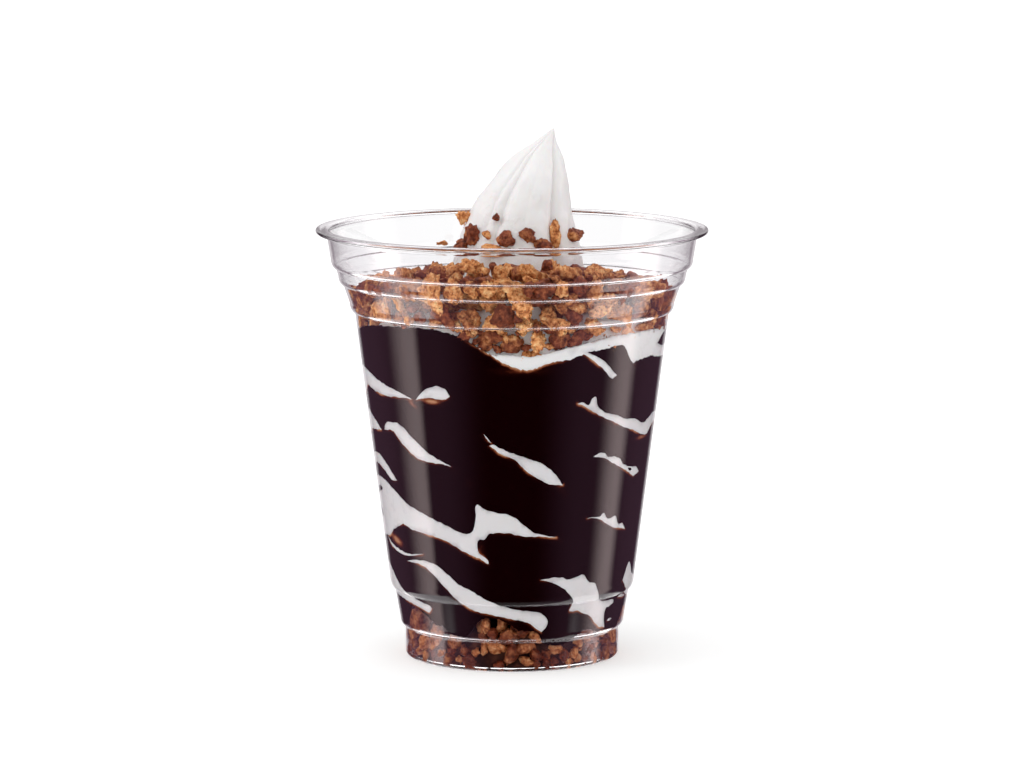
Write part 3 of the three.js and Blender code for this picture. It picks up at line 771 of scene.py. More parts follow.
def thinness(flat):
    lower = onWall(np.concatenate(wall["lowers"]))
    under, over = sauceLook["glowStrength"]
    result = np.zeros(len(flat))
    for start in range(0, len(flat), 2000):
        part = flat[start:start + 2000]
        gaps = part[:, None] - lower[None]
        distance = np.sqrt((gaps**2).sum(2))
        nearest = distance.argmin(1)
        beneath = gaps[np.arange(len(part)), nearest, 1] < 0.05
        reach = sauceLook["lowerGlow"] * np.where(beneath, 1, sauceLook["upperGlow"])
        glow = np.exp(-(distance.min(1) / reach) ** 2)
        result[start:start + 2000] = glow * np.where(beneath, under, over)
    u, z = flat.T
    azimuth = u / wallLayer["perDegree"]
    vary = np.array([0.75 + 0.9 * noise.noise(Vector((a * 0.12, h * 0.16, 4))) for a, h in zip(azimuth, z)])
    result *= np.clip(vary, 0.15, 1.2)
    middle, half = sauceLook["topMiddle"]
    front = np.exp(-((azimuth - middle) / half) ** 4)
    topGlow = np.exp(-(np.abs(lineOf(wall["top"])(u) - z) / sauceLook["topGlow"]) ** 2)
    result = np.maximum(result, topGlow * front * sauceLook["topStrength"])
    for middle, height, wide, high, fall, strength in sauceLook["thin"]:
        across = (azimuth - middle) / wide
        up = (z - height + fall * (azimuth - middle)) / high
        result = np.maximum(result, strength * np.exp(-(across**2) * 1.2 - up**2))
    return result


def chocolate():
    material, tree = startMaterial("chocolateSauce")
    thin = makeNode(tree, "ShaderNodeAttribute", {"attribute_name": "thin"}, None, 2)
    place = makeNode(tree, "ShaderNodeTexCoord", None, None, "Object")
    mottle = makeNode(tree, "ShaderNodeTexNoise", None, {"Vector": place, "Scale": 420, "Detail": 3})
    amount = (thin + (mottle - 0.5) * 0.25 * thin.smooth(0.02, 0.5)).smooth(0, 1.05)
    stops = [
        (0.0, (0.0046, 0.0003, 0.0006)),
        (0.3, (0.012, 0.0016, 0.0012)),
        (0.52, (0.062, 0.011, 0.005)),
        (0.76, (0.21, 0.062, 0.026)),
        (1.0, (0.5, 0.25, 0.135)),
    ]
    colour = makeNode(tree, "ShaderNodeValToRGB", {"stops": stops}, {0: amount})
    surface = makeNode(tree, "ShaderNodeBsdfPrincipled", None, {
        "Base Color": colour,
        "Roughness": 0.5,
        "Specular IOR Level": 0.0,
    })
    finishMaterial(tree, surface)
    return material


def makeSauce():
    vertices, faces, used = thickened(wall["flat"], wall["sauce"], wallLayer["sauceDepth"])
    thin = thinness(wall["flat"][used])
    floor, top = sauceLook["pool"]
    edge = foodRadius(floor) - 0.5
    poolVertices, poolFaces = turnedMesh([(0, floor), (edge, floor), (edge, top), (0, top)], 96)
    count = len(vertices)
    vertices = np.concatenate([vertices, poolVertices])
    faces += [tuple(i + count for i in face) for face in poolFaces]
    sauce = makeObject("chocolateSauce", vertices * mm, faces)
    addAttribute(sauce, "thin", np.concatenate([thin, thin, np.zeros(len(poolVertices))]))
    weldSeam(sauce)
    sauce.data.materials.append(chocolate())
    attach(sauce, "root")
    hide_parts("chocolate_sauce")


makeSauce()
print("sauce ready")


softServeShape = {
    "columns": 288,
    "shoulderSteps": 26,
    "bottom": 16.6,  # on the pool of sauce
    "shrink": 0.1,  # the middle stands back this much from the sauce
    "mound": (34.3, 88.6),
    "neck": (23.5, 92.6, 1.8),  # radius, height and how much higher in front
    "peakFoot": 98.0,
    "tip": (10.3, 0.6, 132.6),
    "twist": 10,  # how far the lobes turn towards the tip
    "lumps": 0.5,
    "fineLumps": 0.12,
    # The peak's outline from the front: height, left side, right side
    "outline": [
        (98, -15.4, 18.2), (102, -14.4, 17.4), (104.6, -13.7, 16.9), (107.1, -12.8, 16.3),
        (110.1, -11.2, 15.8), (113.1, -9.8, 15.1), (116.1, -8.1, 14.6), (118.8, -6.2, 14.3),
        (121.3, -4.1, 13.9), (123.6, -1.9, 13.3), (125.6, 0, 12.7), (127.3, 2.2, 12.1), (128.8, 4.8, 11.5),
        (130.1, 6.7, 11.1), (131.1, 8.1, 10.8), (131.8, 9.1, 10.7), (132.3, 9.8, 10.6),
    ],
    "grooveRise": (100, 128),  # heights between which the grooves go from their low to their high depth
    # Grooves between the lobes: azimuth, depth low down and at the tip, width
    "grooves": [
        (-84, 0.05, 0.05, 14), (-41, 0.0, 0.13, 7), (-27, 0.12, 0.16, 8), (3, 0.025, 0.02, 9),
        (39, 0.2, 0.26, 7), (90, 0.06, 0.05, 14), (138, 0.16, 0.14, 10), (187, 0.17, 0.14, 10),
        (236, 0.14, 0.12, 10),
    ],
}


def grooveDip(azimuth, height):
    total = np.zeros_like(azimuth)
    start, end = softServeShape["grooveRise"]
    rise = np.clip((height - start) / (end - start), 0, 1)
    for middle, low, high, width in softServeShape["grooves"]:
        off = (azimuth - middle + 180) % 360 - 180
        total += (low + (high - low) * rise) * np.exp(-np.abs(off) / width * 1.6)
    return total


def softServeColumn(azimuth):  # from the pool of sauce to the foot of the peak
    shape = softServeShape
    behind = wallLayer["sauceDepth"] + shape["shrink"]
    top = float(whiteTop(azimuth)) - 0.3
    heights = [shape["bottom"], 17.2, 18.4, 20.4, *np.linspace(22, top, 30)]
    points = [onCircle(azimuth, float(foodRadius(z)) - behind, z) for z in heights]
    moundRadius, moundHeight = shape["mound"]
    neckRadius, neckHeight, neckLean = shape["neck"]
    neckHeight += neckLean * math.cos(math.radians(azimuth))
    peakFoot, left, right = shape["outline"][0]
    half = (right - left) / 2
    edge = float(foodRadius(top)) - behind
    recess = (edge - 0.6, top + 0.9)  # above the white at the wall the mound stands back from it
    knots = [(edge, top), recess, (moundRadius, moundHeight), (neckRadius, neckHeight), (half + 2.0, 96.2)]
    shoulder = smoothCurve(knots, 0.3)
    for r, z in shoulder[np.linspace(0, len(shoulder) - 1, shape["shoulderSteps"]).astype(int)[1:]]:
        share = min(1.0, max(0.0, (edge - r) / (edge - half)))
        centre = (left + right) / 2 * share**2
        dip = float(grooveDip(np.array([azimuth]), peakFoot)[0]) * share**3
        points.append(onCircle(azimuth, r * (1 - dip), z) + (centre, shape["tip"][1] * share, 0))
    return points


def peakRows():
    shape = softServeShape
    left, right = lineOf(shape["outline"]), lineOf(shape["outline"], 2)
    heights = np.concatenate([np.linspace(shape["peakFoot"], 128, 64), np.linspace(128.4, 132.3, 18)])
    return [(z, float(left(z)), float(right(z))) for z in heights]


def smoothNumbers(values, times):
    values = np.array(values, float)
    for _ in range(times):
        values[1:-1] = (values[:-2] + 2 * values[1:-1] + values[2:]) / 4
    return values


def lumpy(vertices):  # moved out or in a little, from a point below each
    size = softServeShape["lumps"] * np.clip((vertices[:, 2] - 84) / 6, 0, 1)
    lumps = []
    for x, y, z in vertices:
        lump = noise.fractal(Vector((x, y, z * 0.7)) * 0.16, 0.9, 2.1, 3)
        lumps.append(lump + noise.noise(Vector((x, y, z)) * 0.9) * softServeShape["fineLumps"])
    centres = np.stack([np.full(len(vertices), 3.0), np.zeros(len(vertices)), vertices[:, 2] - 8], 1)
    outwards = vertices - centres
    outwards /= np.linalg.norm(outwards, axis=1)[:, None]
    return vertices + outwards * (np.array(lumps) * size)[:, None]


def softServeBody():
    shape = softServeShape
    columns = shape["columns"]
    heights, lefts, rights = np.array(peakRows()).T
    lefts, rights = smoothNumbers(lefts, 6), smoothNumbers(rights, 6)
    rise = np.clip((heights - shape["peakFoot"]) / 34, 0, 1)
    vertices = []
    for i in range(columns):
        azimuth = 360 * i / columns - 180
        dip = grooveDip(np.full(len(heights), azimuth), heights)
        half = (rights - lefts) / 2 * (1 - dip)
        upper = onCircle(azimuth + shape["twist"] * rise**2, half, heights)
        upper[:, 0] += (lefts + rights) / 2
        upper[:, 1] += shape["tip"][1]
        vertices += [*softServeColumn(azimuth), *upper]
    length = len(vertices) // columns
    vertices = lumpy(np.array(vertices))
    faces = turnedFaces(columns, length)
    start = len(vertices)
    vertices = np.concatenate([vertices, [(0, 0, shape["bottom"]), shape["tip"]]])
    for i in range(columns):
        j = (i + 1) % columns
        faces.append((start, j * length, i * length))
        faces.append((start + 1, i * length + length - 1, j * length + length - 1))
    return vertices, faces


def cream():
    material, tree = startMaterial("softServe")
    place = makeNode(tree, "ShaderNodeTexCoord", None, None, "Object")
    film = makeNode(tree, "ShaderNodeAttribute", {"attribute_name": "film"}, None, 2)
    broad = makeNode(tree, "ShaderNodeTexNoise", None, {"Vector": place, "Scale": 60, "Detail": 3})
    fine = makeNode(tree, "ShaderNodeTexNoise", None, {"Vector": place, "Scale": 900, "Detail": 4})
    colour = mixColours(tree, broad.smooth(0.35, 0.7), (0.9, 0.89, 0.885), (0.85, 0.835, 0.83))
    # the sauce's skin near its edges, and painted shade on the rest of the white at the wall
    colour = mixColours(tree, film, colour, (0.36, 0.32, 0.35))
    drops = makeNode(tree, "ShaderNodeTexNoise", None, {"Vector": place, "Scale": 380, "Detail": 3})
    wet = drops.smooth(0.5, 0.6) * broad.smooth(0.5, 0.56)
    height = fine * 0.4 + wet
    bump = makeNode(tree, "ShaderNodeBump", None, {"Height": height, "Strength": 0.3, "Distance": 0.0003})
    surface = makeNode(tree, "ShaderNodeBsdfPrincipled", None, {
        "Base Color": colour,
        "Roughness": 0.36 + broad * 0.15 - wet * 0.26,
        "Specular IOR Level": 0.45,
        "Subsurface Weight": 0.1,
        "Subsurface Scale": 0.0015,
        "Normal": bump,
    })
    finishMaterial(tree, surface)
    return material


def filmAndShadeOf(flat):  # a thin skin of sauce over the white, near the sauce's edges, plus painted shade: all the white at the wall is greyed a little, more from 80 mm down
    gap = nearestDistance(flat, wall["outlines"])
    places = flat * (0.22, 0.3)
    patchy = np.array([noise.fractal(Vector((u, z, 9)), 1.0, 2.0, 3) for u, z in places])
    # painted shade: at least this much grey everywhere on the wall's white, growing towards the bottom
    least = 0.12 + 0.22 * np.clip((80 - flat[:, 1]) / 10, 0, 1)
    return np.clip(np.exp(-(gap / 1.1) ** 1.5) * (0.28 + 0.9 * patchy), least, 0.6)


def makeSoftServe():
    vertices, faces = softServeBody()
    padVertices, padFaces, used = thickened(wall["flat"], wall["white"], wallLayer["padDepth"])
    count = len(vertices)
    faces += [tuple(i + count for i in face) for face in padFaces]
    piece = makeObject("softServe", np.concatenate([vertices, padVertices]) * mm, faces)
    film = filmAndShadeOf(wall["flat"][used])
    addAttribute(piece, "film", np.concatenate([np.zeros(count), film, film]))
    weldSeam(piece)
    piece.data.materials.append(cream())
    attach(piece, "root")
    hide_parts("soft_serve")


makeSoftServe()
print("soft serve ready")


# How each kind of chunk is cut from a ball; the ranges are drawn from once for each shape
chunkLooks = {
    "flake": {
        "shapes": 10, "detail": 4, "cuts": (6, 9), "reach": (0.45, 0.95), "wide": (0.85, 1.3),
        "thick": (0.45, 0.8), "lumps": 0.16, "grain": 0.3, "bend": 0.25, "dents": 4,
    },
    "nugget": {
        "shapes": 8, "detail": 4, "cuts": (7, 11), "reach": (0.6, 0.98), "wide": (0.8, 1.1),
        "thick": (0.65, 1.0), "lumps": 0.2, "grain": 0.1, "bend": 0.0, "dents": 3,
    },
    "crumb": {
        "shapes": 8, "detail": 3, "cuts": (6, 9), "reach": (0.55, 0.98), "wide": (0.8, 1.2),
        "thick": (0.6, 1.0), "lumps": 0.2, "grain": 0.15, "bend": 0.1, "dents": 3,
    },
    "nut": {
        "shapes": 8, "detail": 4, "cuts": (2, 5), "reach": (0.6, 0.98), "wide": (0.85, 1.35),
        "thick": (0.5, 0.8), "lumps": 0.12, "grain": 0.05, "bend": 0.15, "dents": 2,
    },
}
chunkMaking = {"seed": 5, "cragDepth": 1.1 * mm, "cragScale": 650.0}


def chunkShape(name, look, draw):  # about 1 in radius
    shape = bmesh.new()
    bmesh.ops.create_icosphere(shape, subdivisions=look["detail"], radius=1)
    cuts = int(draw.integers(*look["cuts"]))
    normals = draw.normal(size=(cuts, 3))
    normals /= np.linalg.norm(normals, axis=1)[:, None]
    reaches = draw.uniform(*look["reach"], cuts)
    dents = draw.normal(size=(look["dents"], 3))
    dents /= np.linalg.norm(dents, axis=1)[:, None]
    stretch = np.array((*draw.uniform(*look["wide"], 2), draw.uniform(*look["thick"])))
    offset = Vector(draw.uniform(-50, 50, 3))
    for vertex in shape.verts:
        way = np.array(vertex.co.normalized())
        facing = normals @ way
        reach = min([1.05, *(reaches[facing > 0.05] / facing[facing > 0.05])])
        for dent in dents:
            reach *= 1 - 0.3 * max(0, float(dent @ way) - 0.6) / 0.4
        reach *= 1 + look["lumps"] * noise.fractal(Vector(way) * 2.2 + offset, 0.8, 2.0, 3)
        ridge = abs(noise.noise(Vector(way * (6.5, 5.0, 1.6)) + offset))
        reach *= 1 - look["grain"] * (1 - min(1, ridge * 4))
        place = way * reach * stretch
        place[2] += look["bend"] * (place[0] ** 2 - 0.4)
        vertex.co = place
    mesh = bpy.data.meshes.new(name)
    shape.to_mesh(mesh)
    shape.free()
    return bpy.data.objects.new(name, mesh)


def addNode(tree, kind, settings=None, inputs=None):  # for geometry nodes, from plain sockets
    node = tree.nodes.new(kind)
    for key, value in (settings or {}).items():
        setattr(node, key, value)
    for key, value in (inputs or {}).items():
        if isinstance(value, bpy.types.NodeSocket):
            tree.links.new(value, node.inputs[key])
        else:
            node.inputs[key].default_value = value
    return node


def crunchTree():
    tree = bpy.data.node_groups.new("crunch", "GeometryNodeTree")
    for name, kind in (("Places", "Geometry"), ("Shapes", "Collection"), ("Roughness", "Float"),
                       ("Crag Size", "Float"), ("Material", "Material")):
        tree.interface.new_socket(name, in_out="INPUT", socket_type="NodeSocket" + kind)
    tree.interface.new_socket("Geometry", in_out="OUTPUT", socket_type="NodeSocketGeometry")
    start = tree.nodes.new("NodeGroupInput").outputs
    end = tree.nodes.new("NodeGroupOutput").inputs
    shapes = addNode(tree, "GeometryNodeCollectionInfo", {"transform_space": "ORIGINAL"}, {
        "Collection": start["Shapes"], "Separate Children": True, "Reset Children": True,
    }).outputs[0]

    def named(name, kind):
        settings = {"data_type": kind}
        return addNode(tree, "GeometryNodeInputNamedAttribute", settings, {"Name": name}).outputs[0]

    def maths(operation, first, second):
        return addNode(tree, "ShaderNodeMath", {"operation": operation}, {0: first, 1: second}).outputs[0]

    turn = addNode(tree, "FunctionNodeEulerToRotation", None, {0: named("turn", "FLOAT_VECTOR")}).outputs[0]
    placed = addNode(tree, "GeometryNodeInstanceOnPoints", None, {
        "Points": start["Places"],
        "Instance": shapes,
        "Pick Instance": True,
        "Instance Index": named("kind", "INT"),
        "Rotation": turn,
        "Scale": named("size", "FLOAT_VECTOR"),
    }).outputs[0]
    real = addNode(tree, "GeometryNodeRealizeInstances", None, {0: placed}).outputs[0]
    crag = addNode(tree, "ShaderNodeTexNoise", None, {
        "Vector": addNode(tree, "GeometryNodeInputPosition").outputs[0],
        "Scale": start["Crag Size"],
        "Detail": 2.0,
    }).outputs[0]
    shift = addNode(tree, "ShaderNodeVectorMath", {"operation": "SCALE"}, {
        0: addNode(tree, "GeometryNodeInputNormal").outputs[0],
        "Scale": maths("MULTIPLY", maths("SUBTRACT", crag, 0.5), start["Roughness"]),
    }).outputs[0]
    moved = addNode(tree, "GeometryNodeSetPosition", None, {"Geometry": real, "Offset": shift}).outputs[0]
    painted = addNode(tree, "GeometryNodeSetMaterial", None, {
        "Geometry": moved,
        "Material": start["Material"],
    }).outputs[0]
    tree.links.new(painted, end[0])
    return tree


def toasted(name, gloss, tint):
    material, tree = startMaterial(name)
    tone = makeNode(tree, "ShaderNodeAttribute", {"attribute_name": "tone"}, None, 2)
    place = makeNode(tree, "ShaderNodeTexCoord", None, None, "Object")
    patches = makeNode(tree, "ShaderNodeTexNoise", None, {"Vector": place, "Scale": 240, "Detail": 3})
    grain = makeNode(tree, "ShaderNodeTexNoise", None, {
        "Vector": place, "Scale": 820, "Detail": 5, "Roughness": 0.65,
    })
    pits = makeNode(tree, "ShaderNodeTexVoronoi", None, {"Vector": place, "Scale": 1500})
    baked = (tone + (patches - 0.5) * 1.3).smooth(0.25, 0.8)
    # painted light: these colour stops are lighter and warmer than the crunch's own colour, so the top heap
    # and the peak's pieces look more lit; the glazed base's tint darkens them
    goldStops = [
        (0.3, (0.15, 0.033, 0.009)), (0.4, (0.42, 0.127, 0.036)), (0.52, (0.8, 0.335, 0.12)),
        (0.66, (0.95, 0.6, 0.29)),
    ]
    darkStops = [
        (0.32, (0.055, 0.01, 0.005)), (0.5, (0.2, 0.042, 0.016)), (0.68, (0.42, 0.12, 0.047)),
    ]
    gold = makeNode(tree, "ShaderNodeValToRGB", {"stops": goldStops}, {0: grain - baked * 0.04})
    dark = makeNode(tree, "ShaderNodeValToRGB", {"stops": darkStops}, {0: grain})
    colour = mixColours(tree, baked, gold, dark)
    # painted shade: the pits, which the bump below makes into hollows, are darkened
    pitShade = (1 - pits.smooth(0.1, 0.3)) * (1 - baked) * 0.55
    colour = mixColours(tree, pitShade, colour, (0.09, 0.022, 0.007))
    colour = mixColours(tree, 1.0, colour, tint, "MULTIPLY")
    height = grain * 0.8 + pits.smooth(0.0, 0.3) * (1 - baked) * 0.6
    bump = makeNode(tree, "ShaderNodeBump", None, {"Height": height, "Strength": 0.8, "Distance": 0.0005})
    surface = makeNode(tree, "ShaderNodeBsdfPrincipled", None, {
        "Base Color": colour,
        "Roughness": gloss + 0.3 - baked * 0.22,
        "Specular IOR Level": 0.25,
        "Normal": bump,
    })
    finishMaterial(tree, surface)
    return material


def makeShapes():
    draw = np.random.default_rng(chunkMaking["seed"])
    group = bpy.data.collections.new("chunkShapes")
    first = 0
    for name, look in chunkLooks.items():
        look["first"] = first
        for i in range(look["shapes"]):
            group.objects.link(chunkShape(f"chunk{first + i:02d}", look, draw))
        first += look["shapes"]
    return group


chunkShapes = makeShapes()
crunchNodes = crunchTree()
# painted light: the top heap's and peak's crunch keep the lightened stops; the base's tint makes its crunch
# darker
litCrunchPaint = toasted("litToastedCrunch", 0.42, (1, 1, 1))
nutPaint = toasted("glazedCrunch", 0.2, (0.62, 0.5, 0.5))


def makeCrunch(name, chunks, material):  # chunks: dictionaries of place, size, turn, kind and tone
    points = bpy.data.meshes.new(name)
    points.from_pydata([tuple(np.array(c["place"]) * mm) for c in chunks], [], [])
    for key, kind in (("size", "FLOAT_VECTOR"), ("turn", "FLOAT_VECTOR"), ("kind", "INT"), ("tone", "FLOAT")):
        attribute = points.attributes.new(key, kind, "POINT")
        values = np.array([c[key] for c in chunks], float)
        if key == "size":
            values = values * mm
        field = "vector" if kind == "FLOAT_VECTOR" else "value"
        attribute.data.foreach_set(field, values.astype(int if kind == "INT" else np.float32).ravel())
    piece = bpy.data.objects.new(name, points)
    bpy.context.scene.collection.objects.link(piece)
    modifier = piece.modifiers.new("crunch", "NODES")
    modifier.node_group = crunchNodes
    wanted = {
        "Shapes": chunkShapes,
        "Roughness": chunkMaking["cragDepth"],
        "Crag Size": chunkMaking["cragScale"],
        "Material": material,
    }
    for item in crunchNodes.interface.items_tree:
        if item.item_type == "SOCKET" and item.in_out == "INPUT" and item.name in wanted:
            modifier[item.identifier] = wanted[item.name]
    seen = piece.evaluated_get(bpy.context.evaluated_depsgraph_get())
    mesh = bpy.data.meshes.new_from_object(seen)
    piece.modifiers.clear()
    piece.data = mesh
    mesh.polygons.foreach_set("use_smooth", [True] * len(mesh.polygons))
    return piece


def finishCrunch(piece, node):
    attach(piece, "root")
    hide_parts(node)


def pressToWall(piece, limit, bottom=None):  # limit gives the largest radius for (azimuth, height)
    count = len(piece.data.vertices)
    places = np.empty(count * 3)
    piece.data.vertices.foreach_get("co", places)
    places = places.reshape(-1, 3) / mm
    radius = np.hypot(places[:, 0], places[:, 1])
    azimuth = np.degrees(np.arctan2(places[:, 0], -places[:, 1]))
    most = limit(azimuth, places[:, 2])
    share = np.minimum(1, most / np.maximum(radius, 1e-6))
    places[:, :2] *= share[:, None]
    if bottom:
        places[:, 2] = np.maximum(places[:, 2], bottom(np.minimum(radius, most)))
    piece.data.vertices.foreach_set("co", (places * mm).ravel())
    piece.data.update()


def settle(chunks, keepIn, rounds=70, closeness=0.82, ease=0.35):  # pushes overlapping chunks apart
    places = np.array([c["place"] for c in chunks], float)
    radii = np.array([float(np.mean(c["size"])) for c in chunks])
    fixed = np.array([c.get("fixed", False) for c in chunks])
    wanted = (radii[:, None] + radii[None]) * closeness
    notItself = np.eye(len(places)) * 99
    for _ in range(rounds):
        gaps = places[:, None] - places[None]
        distance = np.sqrt((gaps**2).sum(2)) + notItself
        push = np.clip(wanted - distance, 0, None) / distance
        move = (gaps * push[:, :, None]).sum(1) * ease
        move[fixed] = 0
        places = keepIn(places + move, radii, fixed)
    for chunk, place in zip(chunks, places):
        chunk["place"] = place


def randomChunk(draw, sizes, look, tones):
    size = sizes[0] + (sizes[1] - sizes[0]) * draw.random() ** 1.4
    return {
        "size": size * draw.uniform(0.8, 1.25, 3),
        "turn": draw.uniform(-math.pi, math.pi, 3),
        "kind": chunkLooks[look]["first"] + int(draw.integers(0, chunkLooks[look]["shapes"])),
        "tone": draw.uniform(*tones),
        "look": look,
    }


topHeap = {
    # Of each kind: how many, sizes, tones and the share that lies against the wall
    "flake": (82, (2.2, 4.8), (-0.15, 0.5), 0.6),
    "nugget": (66, (1.8, 3.8), (0.3, 1.0), 0.55),
    "crumb": (228, (1.2, 2.3), (0.3, 1.0), 0.2),
    # More over the heap, flakes and crumbs in turn: how many, sizes, tones, azimuths and radii
    "onTop": (70, (1.8, 3.2), (0.0, 0.8), (-110, 110), (20, 37)),
    "seed": 12,
    "wallRadius": 42,
    "spread": 42.5,  # the largest radius that is drawn
    "atWall": 41,  # the radius of those against the wall
    "moundEdge": 38.5,
    "wallZone": (37, 37.5),  # past this radius chunks are drawn, and may sink, down to the heap's foot
    "keepOff": (0.62, 0.55, 0.75),  # from the wall, the floor and the top, in a chunk's own radii
    "foot": [
        (-90, 82), (-65, 85.4), (-40, 86.4), (-24, 85.6), (-14, 82.8), (-9, 81.1), (-5, 80.8), (2, 80.4),
        (8, 80.4), (14, 82.2), (26, 83.4), (45, 84.2), (58, 83.8), (90, 83), (130, 82), (165, 84.2),
        (200, 86.2), (240, 84),
    ],
    # Height at the wall, and at the peak
    "wallTop": [
        (-90, 92.6), (-75, 94.6), (-60, 97), (-40, 98.4), (-20, 99.4), (0, 99.8), (30, 99.4), (50, 98.4),
        (62, 96.4), (75, 93.4), (90, 91.6), (120, 89.6), (150, 89), (180, 89.2), (210, 90), (240, 91),
    ],
    "innerTop": [
        (-90, 97), (-45, 100.4), (0, 101.8), (45, 100.6), (90, 97), (135, 95), (180, 94.8), (225, 95.4),
    ],
    "innerRadius": 19.5,
    "widest": 4.4,  # of the pieces below
    "thickness": (1.3, 2.2),
    # Pieces that show from the front: azimuth, radius, height, half width, half height, lean, shape, tone
    "seen": [
        (-29, 41.1, 94.9, 4.4, 5.2, 4, 0, 0.05), (-20, 41.9, 96.8, 3.7, 2.6, 60, 1, 0.15),
        (-13, 41.8, 96.6, 2.3, 2.4, 0, 2, 0.3), (-8, 41.9, 97.0, 3.5, 3.0, -30, 3, 0.0),
        (-53, 39.4, 90.7, 3.2, 4.2, -22, 4, 0.2), (-68, 39.5, 91.0, 4.6, 3.7, -10, 12, 0.55),
        (-54, 38.0, 93.5, 5.6, 2.1, 60, 13, 0.6), (-25, 39.1, 89.7, 5.0, 3.2, 50, 10, 0.75),
        (-16, 38.8, 88.7, 4.3, 3.3, 40, 5, 0.45), (-8, 38.7, 88.4, 3.5, 2.4, -40, 6, 0.2),
        (-8, 37.2, 84.7, 3.2, 2.3, 0, 14, 0.6), (-3, 39.1, 89.9, 4.0, 3.6, 10, 11, 0.85),
        (3, 40.6, 94.3, 3.5, 5.9, -28, 7, 0.0), (6, 42.0, 97.3, 2.3, 2.1, 0, 15, 0.95),
        (13, 39.0, 96.4, 3.2, 1.9, 0, 16, 0.9), (7, 34.0, 100.7, 3.0, 2.5, 0, 8, 0.1),
        (15, 33.0, 101.9, 2.2, 1.8, 0, 17, 0.9), (22, 35.0, 99.9, 4.3, 3.0, 0, 10, 0.5),
        (40, 33.0, 99.6, 6.4, 3.0, 0, 9, 0.25), (-16, 34.0, 101.1, 3.8, 2.6, 0, 2, 0.3),
        (-5, 35.0, 100.3, 2.6, 2.5, 0, 3, 0.1), (-5, 38.0, 96.9, 1.9, 2.3, 0, 0, 0.15),
        (-32, 34.0, 99.9, 3.1, 2.2, 0, 12, 0.6), (-46, 36.0, 98.6, 3.8, 2.4, 0, 1, 0.45),
        (-41, 34.0, 98.6, 3.0, 1.9, 0, 13, 0.6), (13, 39.0, 89.6, 3.4, 3.1, 20, 5, 0.4),
        (22, 39.1, 89.8, 4.1, 2.2, 50, 11, 0.7), (31, 39.5, 91.1, 3.5, 2.3, -20, 6, 0.2),
        (32, 37.8, 87.4, 3.2, 2.8, 0, 8, 0.15), (26, 37.1, 84.4, 2.8, 2.1, 0, 15, 1.0),
        (18, 37.1, 84.3, 2.7, 4.1, 8, 14, 0.7), (10, 37.1, 84.2, 3.0, 2.9, 0, 7, 0.1),
        (7, 36.7, 79.7, 1.9, 3.4, 6, 4, 0.05), (1, 37.0, 83.4, 3.1, 3.3, -20, 16, 0.6),
        (5, 38.6, 88.3, 2.3, 2.3, 0, 9, 0.1), (-10, 37.0, 82.8, 2.9, 2.2, -30, 17, 0.7),
        (-17, 37.2, 85.1, 3.4, 2.3, -30, 10, 0.85), (41, 36.9, 82.1, 3.0, 2.6, 0, 2, 0.35),
        (48, 37.1, 83.9, 3.0, 3.1, 0, 3, 0.1), (59, 37.2, 84.8, 5.1, 1.9, 0, 1, 0.2),
        (79, 37.1, 83.9, 3.5, 2.5, 0, 13, 0.9), (41, 39.1, 89.8, 4.4, 2.8, 0, 0, 0.35),
        (52, 39.3, 90.3, 5.6, 2.8, 0, 12, 0.6), (69, 39.7, 91.7, 6.1, 5.2, 0, 11, 0.7),
        (24, 39.9, 92.2, 3.0, 2.0, 0, 2, 0.3), (33, 38.0, 96.4, 5.0, 1.7, 70, 5, 0.4),
        (-3, 37.2, 85.1, 1.0, 1.9, 0, 6, 0.2), (-21, 37.6, 87.2, 2.4, 2.0, 20, 3, 0.4),
        (-13, 37.4, 86.4, 2.2, 1.8, 0, 21, 0.7), (-13.5, 37.0, 83.7, 1.7, 1.2, -20, 18, 0.6),
        (-5.5, 36.9, 82.3, 1.7, 1.4, 20, 19, 0.85), (-5, 37.6, 87.4, 2.2, 1.8, 30, 5, 0.2),
        (3.5, 37.2, 86.6, 2.0, 1.6, 0, 20, 0.8), (5.5, 36.9, 82.4, 1.7, 1.5, 0, 22, 0.9),
        (14, 37.2, 87, 1.9, 1.5, 10, 23, 0.9), (14.2, 36.9, 82.6, 1.5, 1.4, 0, 24, 0.3),
        (22, 37.1, 87, 2.2, 1.6, -10, 8, 0.2), (22.5, 36.9, 83.4, 1.4, 1.3, 0, 25, 0.9),
        (30, 37.1, 86, 1.8, 1.4, 0, 18, 0.5), (35.5, 37.2, 85.9, 1.7, 1.4, 0, 21, 0.3),
    ],
}
topFoot, wallTop, innerTop = [roundLine(topHeap[name]) for name in ("foot", "wallTop", "innerTop")]


def heapHeight(azimuth, radius):
    wallRadius = topHeap["wallRadius"]
    share = np.clip((wallRadius - radius) / (wallRadius - topHeap["innerRadius"]), 0, 1)
    return wallTop(azimuth) + (innerTop(azimuth) - wallTop(azimuth)) * share


def moundHeight(azimuth, radius):  # of the soft serve under the heap
    neckRadius, neckHeight, neckLean = softServeShape["neck"]
    neckHeight = neckHeight + neckLean * np.cos(np.radians(azimuth))
    moundRadius, moundZ = softServeShape["mound"]
    fall = np.clip((radius - moundRadius) / (topHeap["moundEdge"] - moundRadius), 0, 1)
    rise = np.clip((moundRadius - radius) / (moundRadius - neckRadius), 0, 1)
    low = moundZ + (whiteTop(azimuth) - moundZ) * fall
    high = moundZ + (neckHeight - moundZ) * rise
    return np.where(radius > moundRadius, low, high)


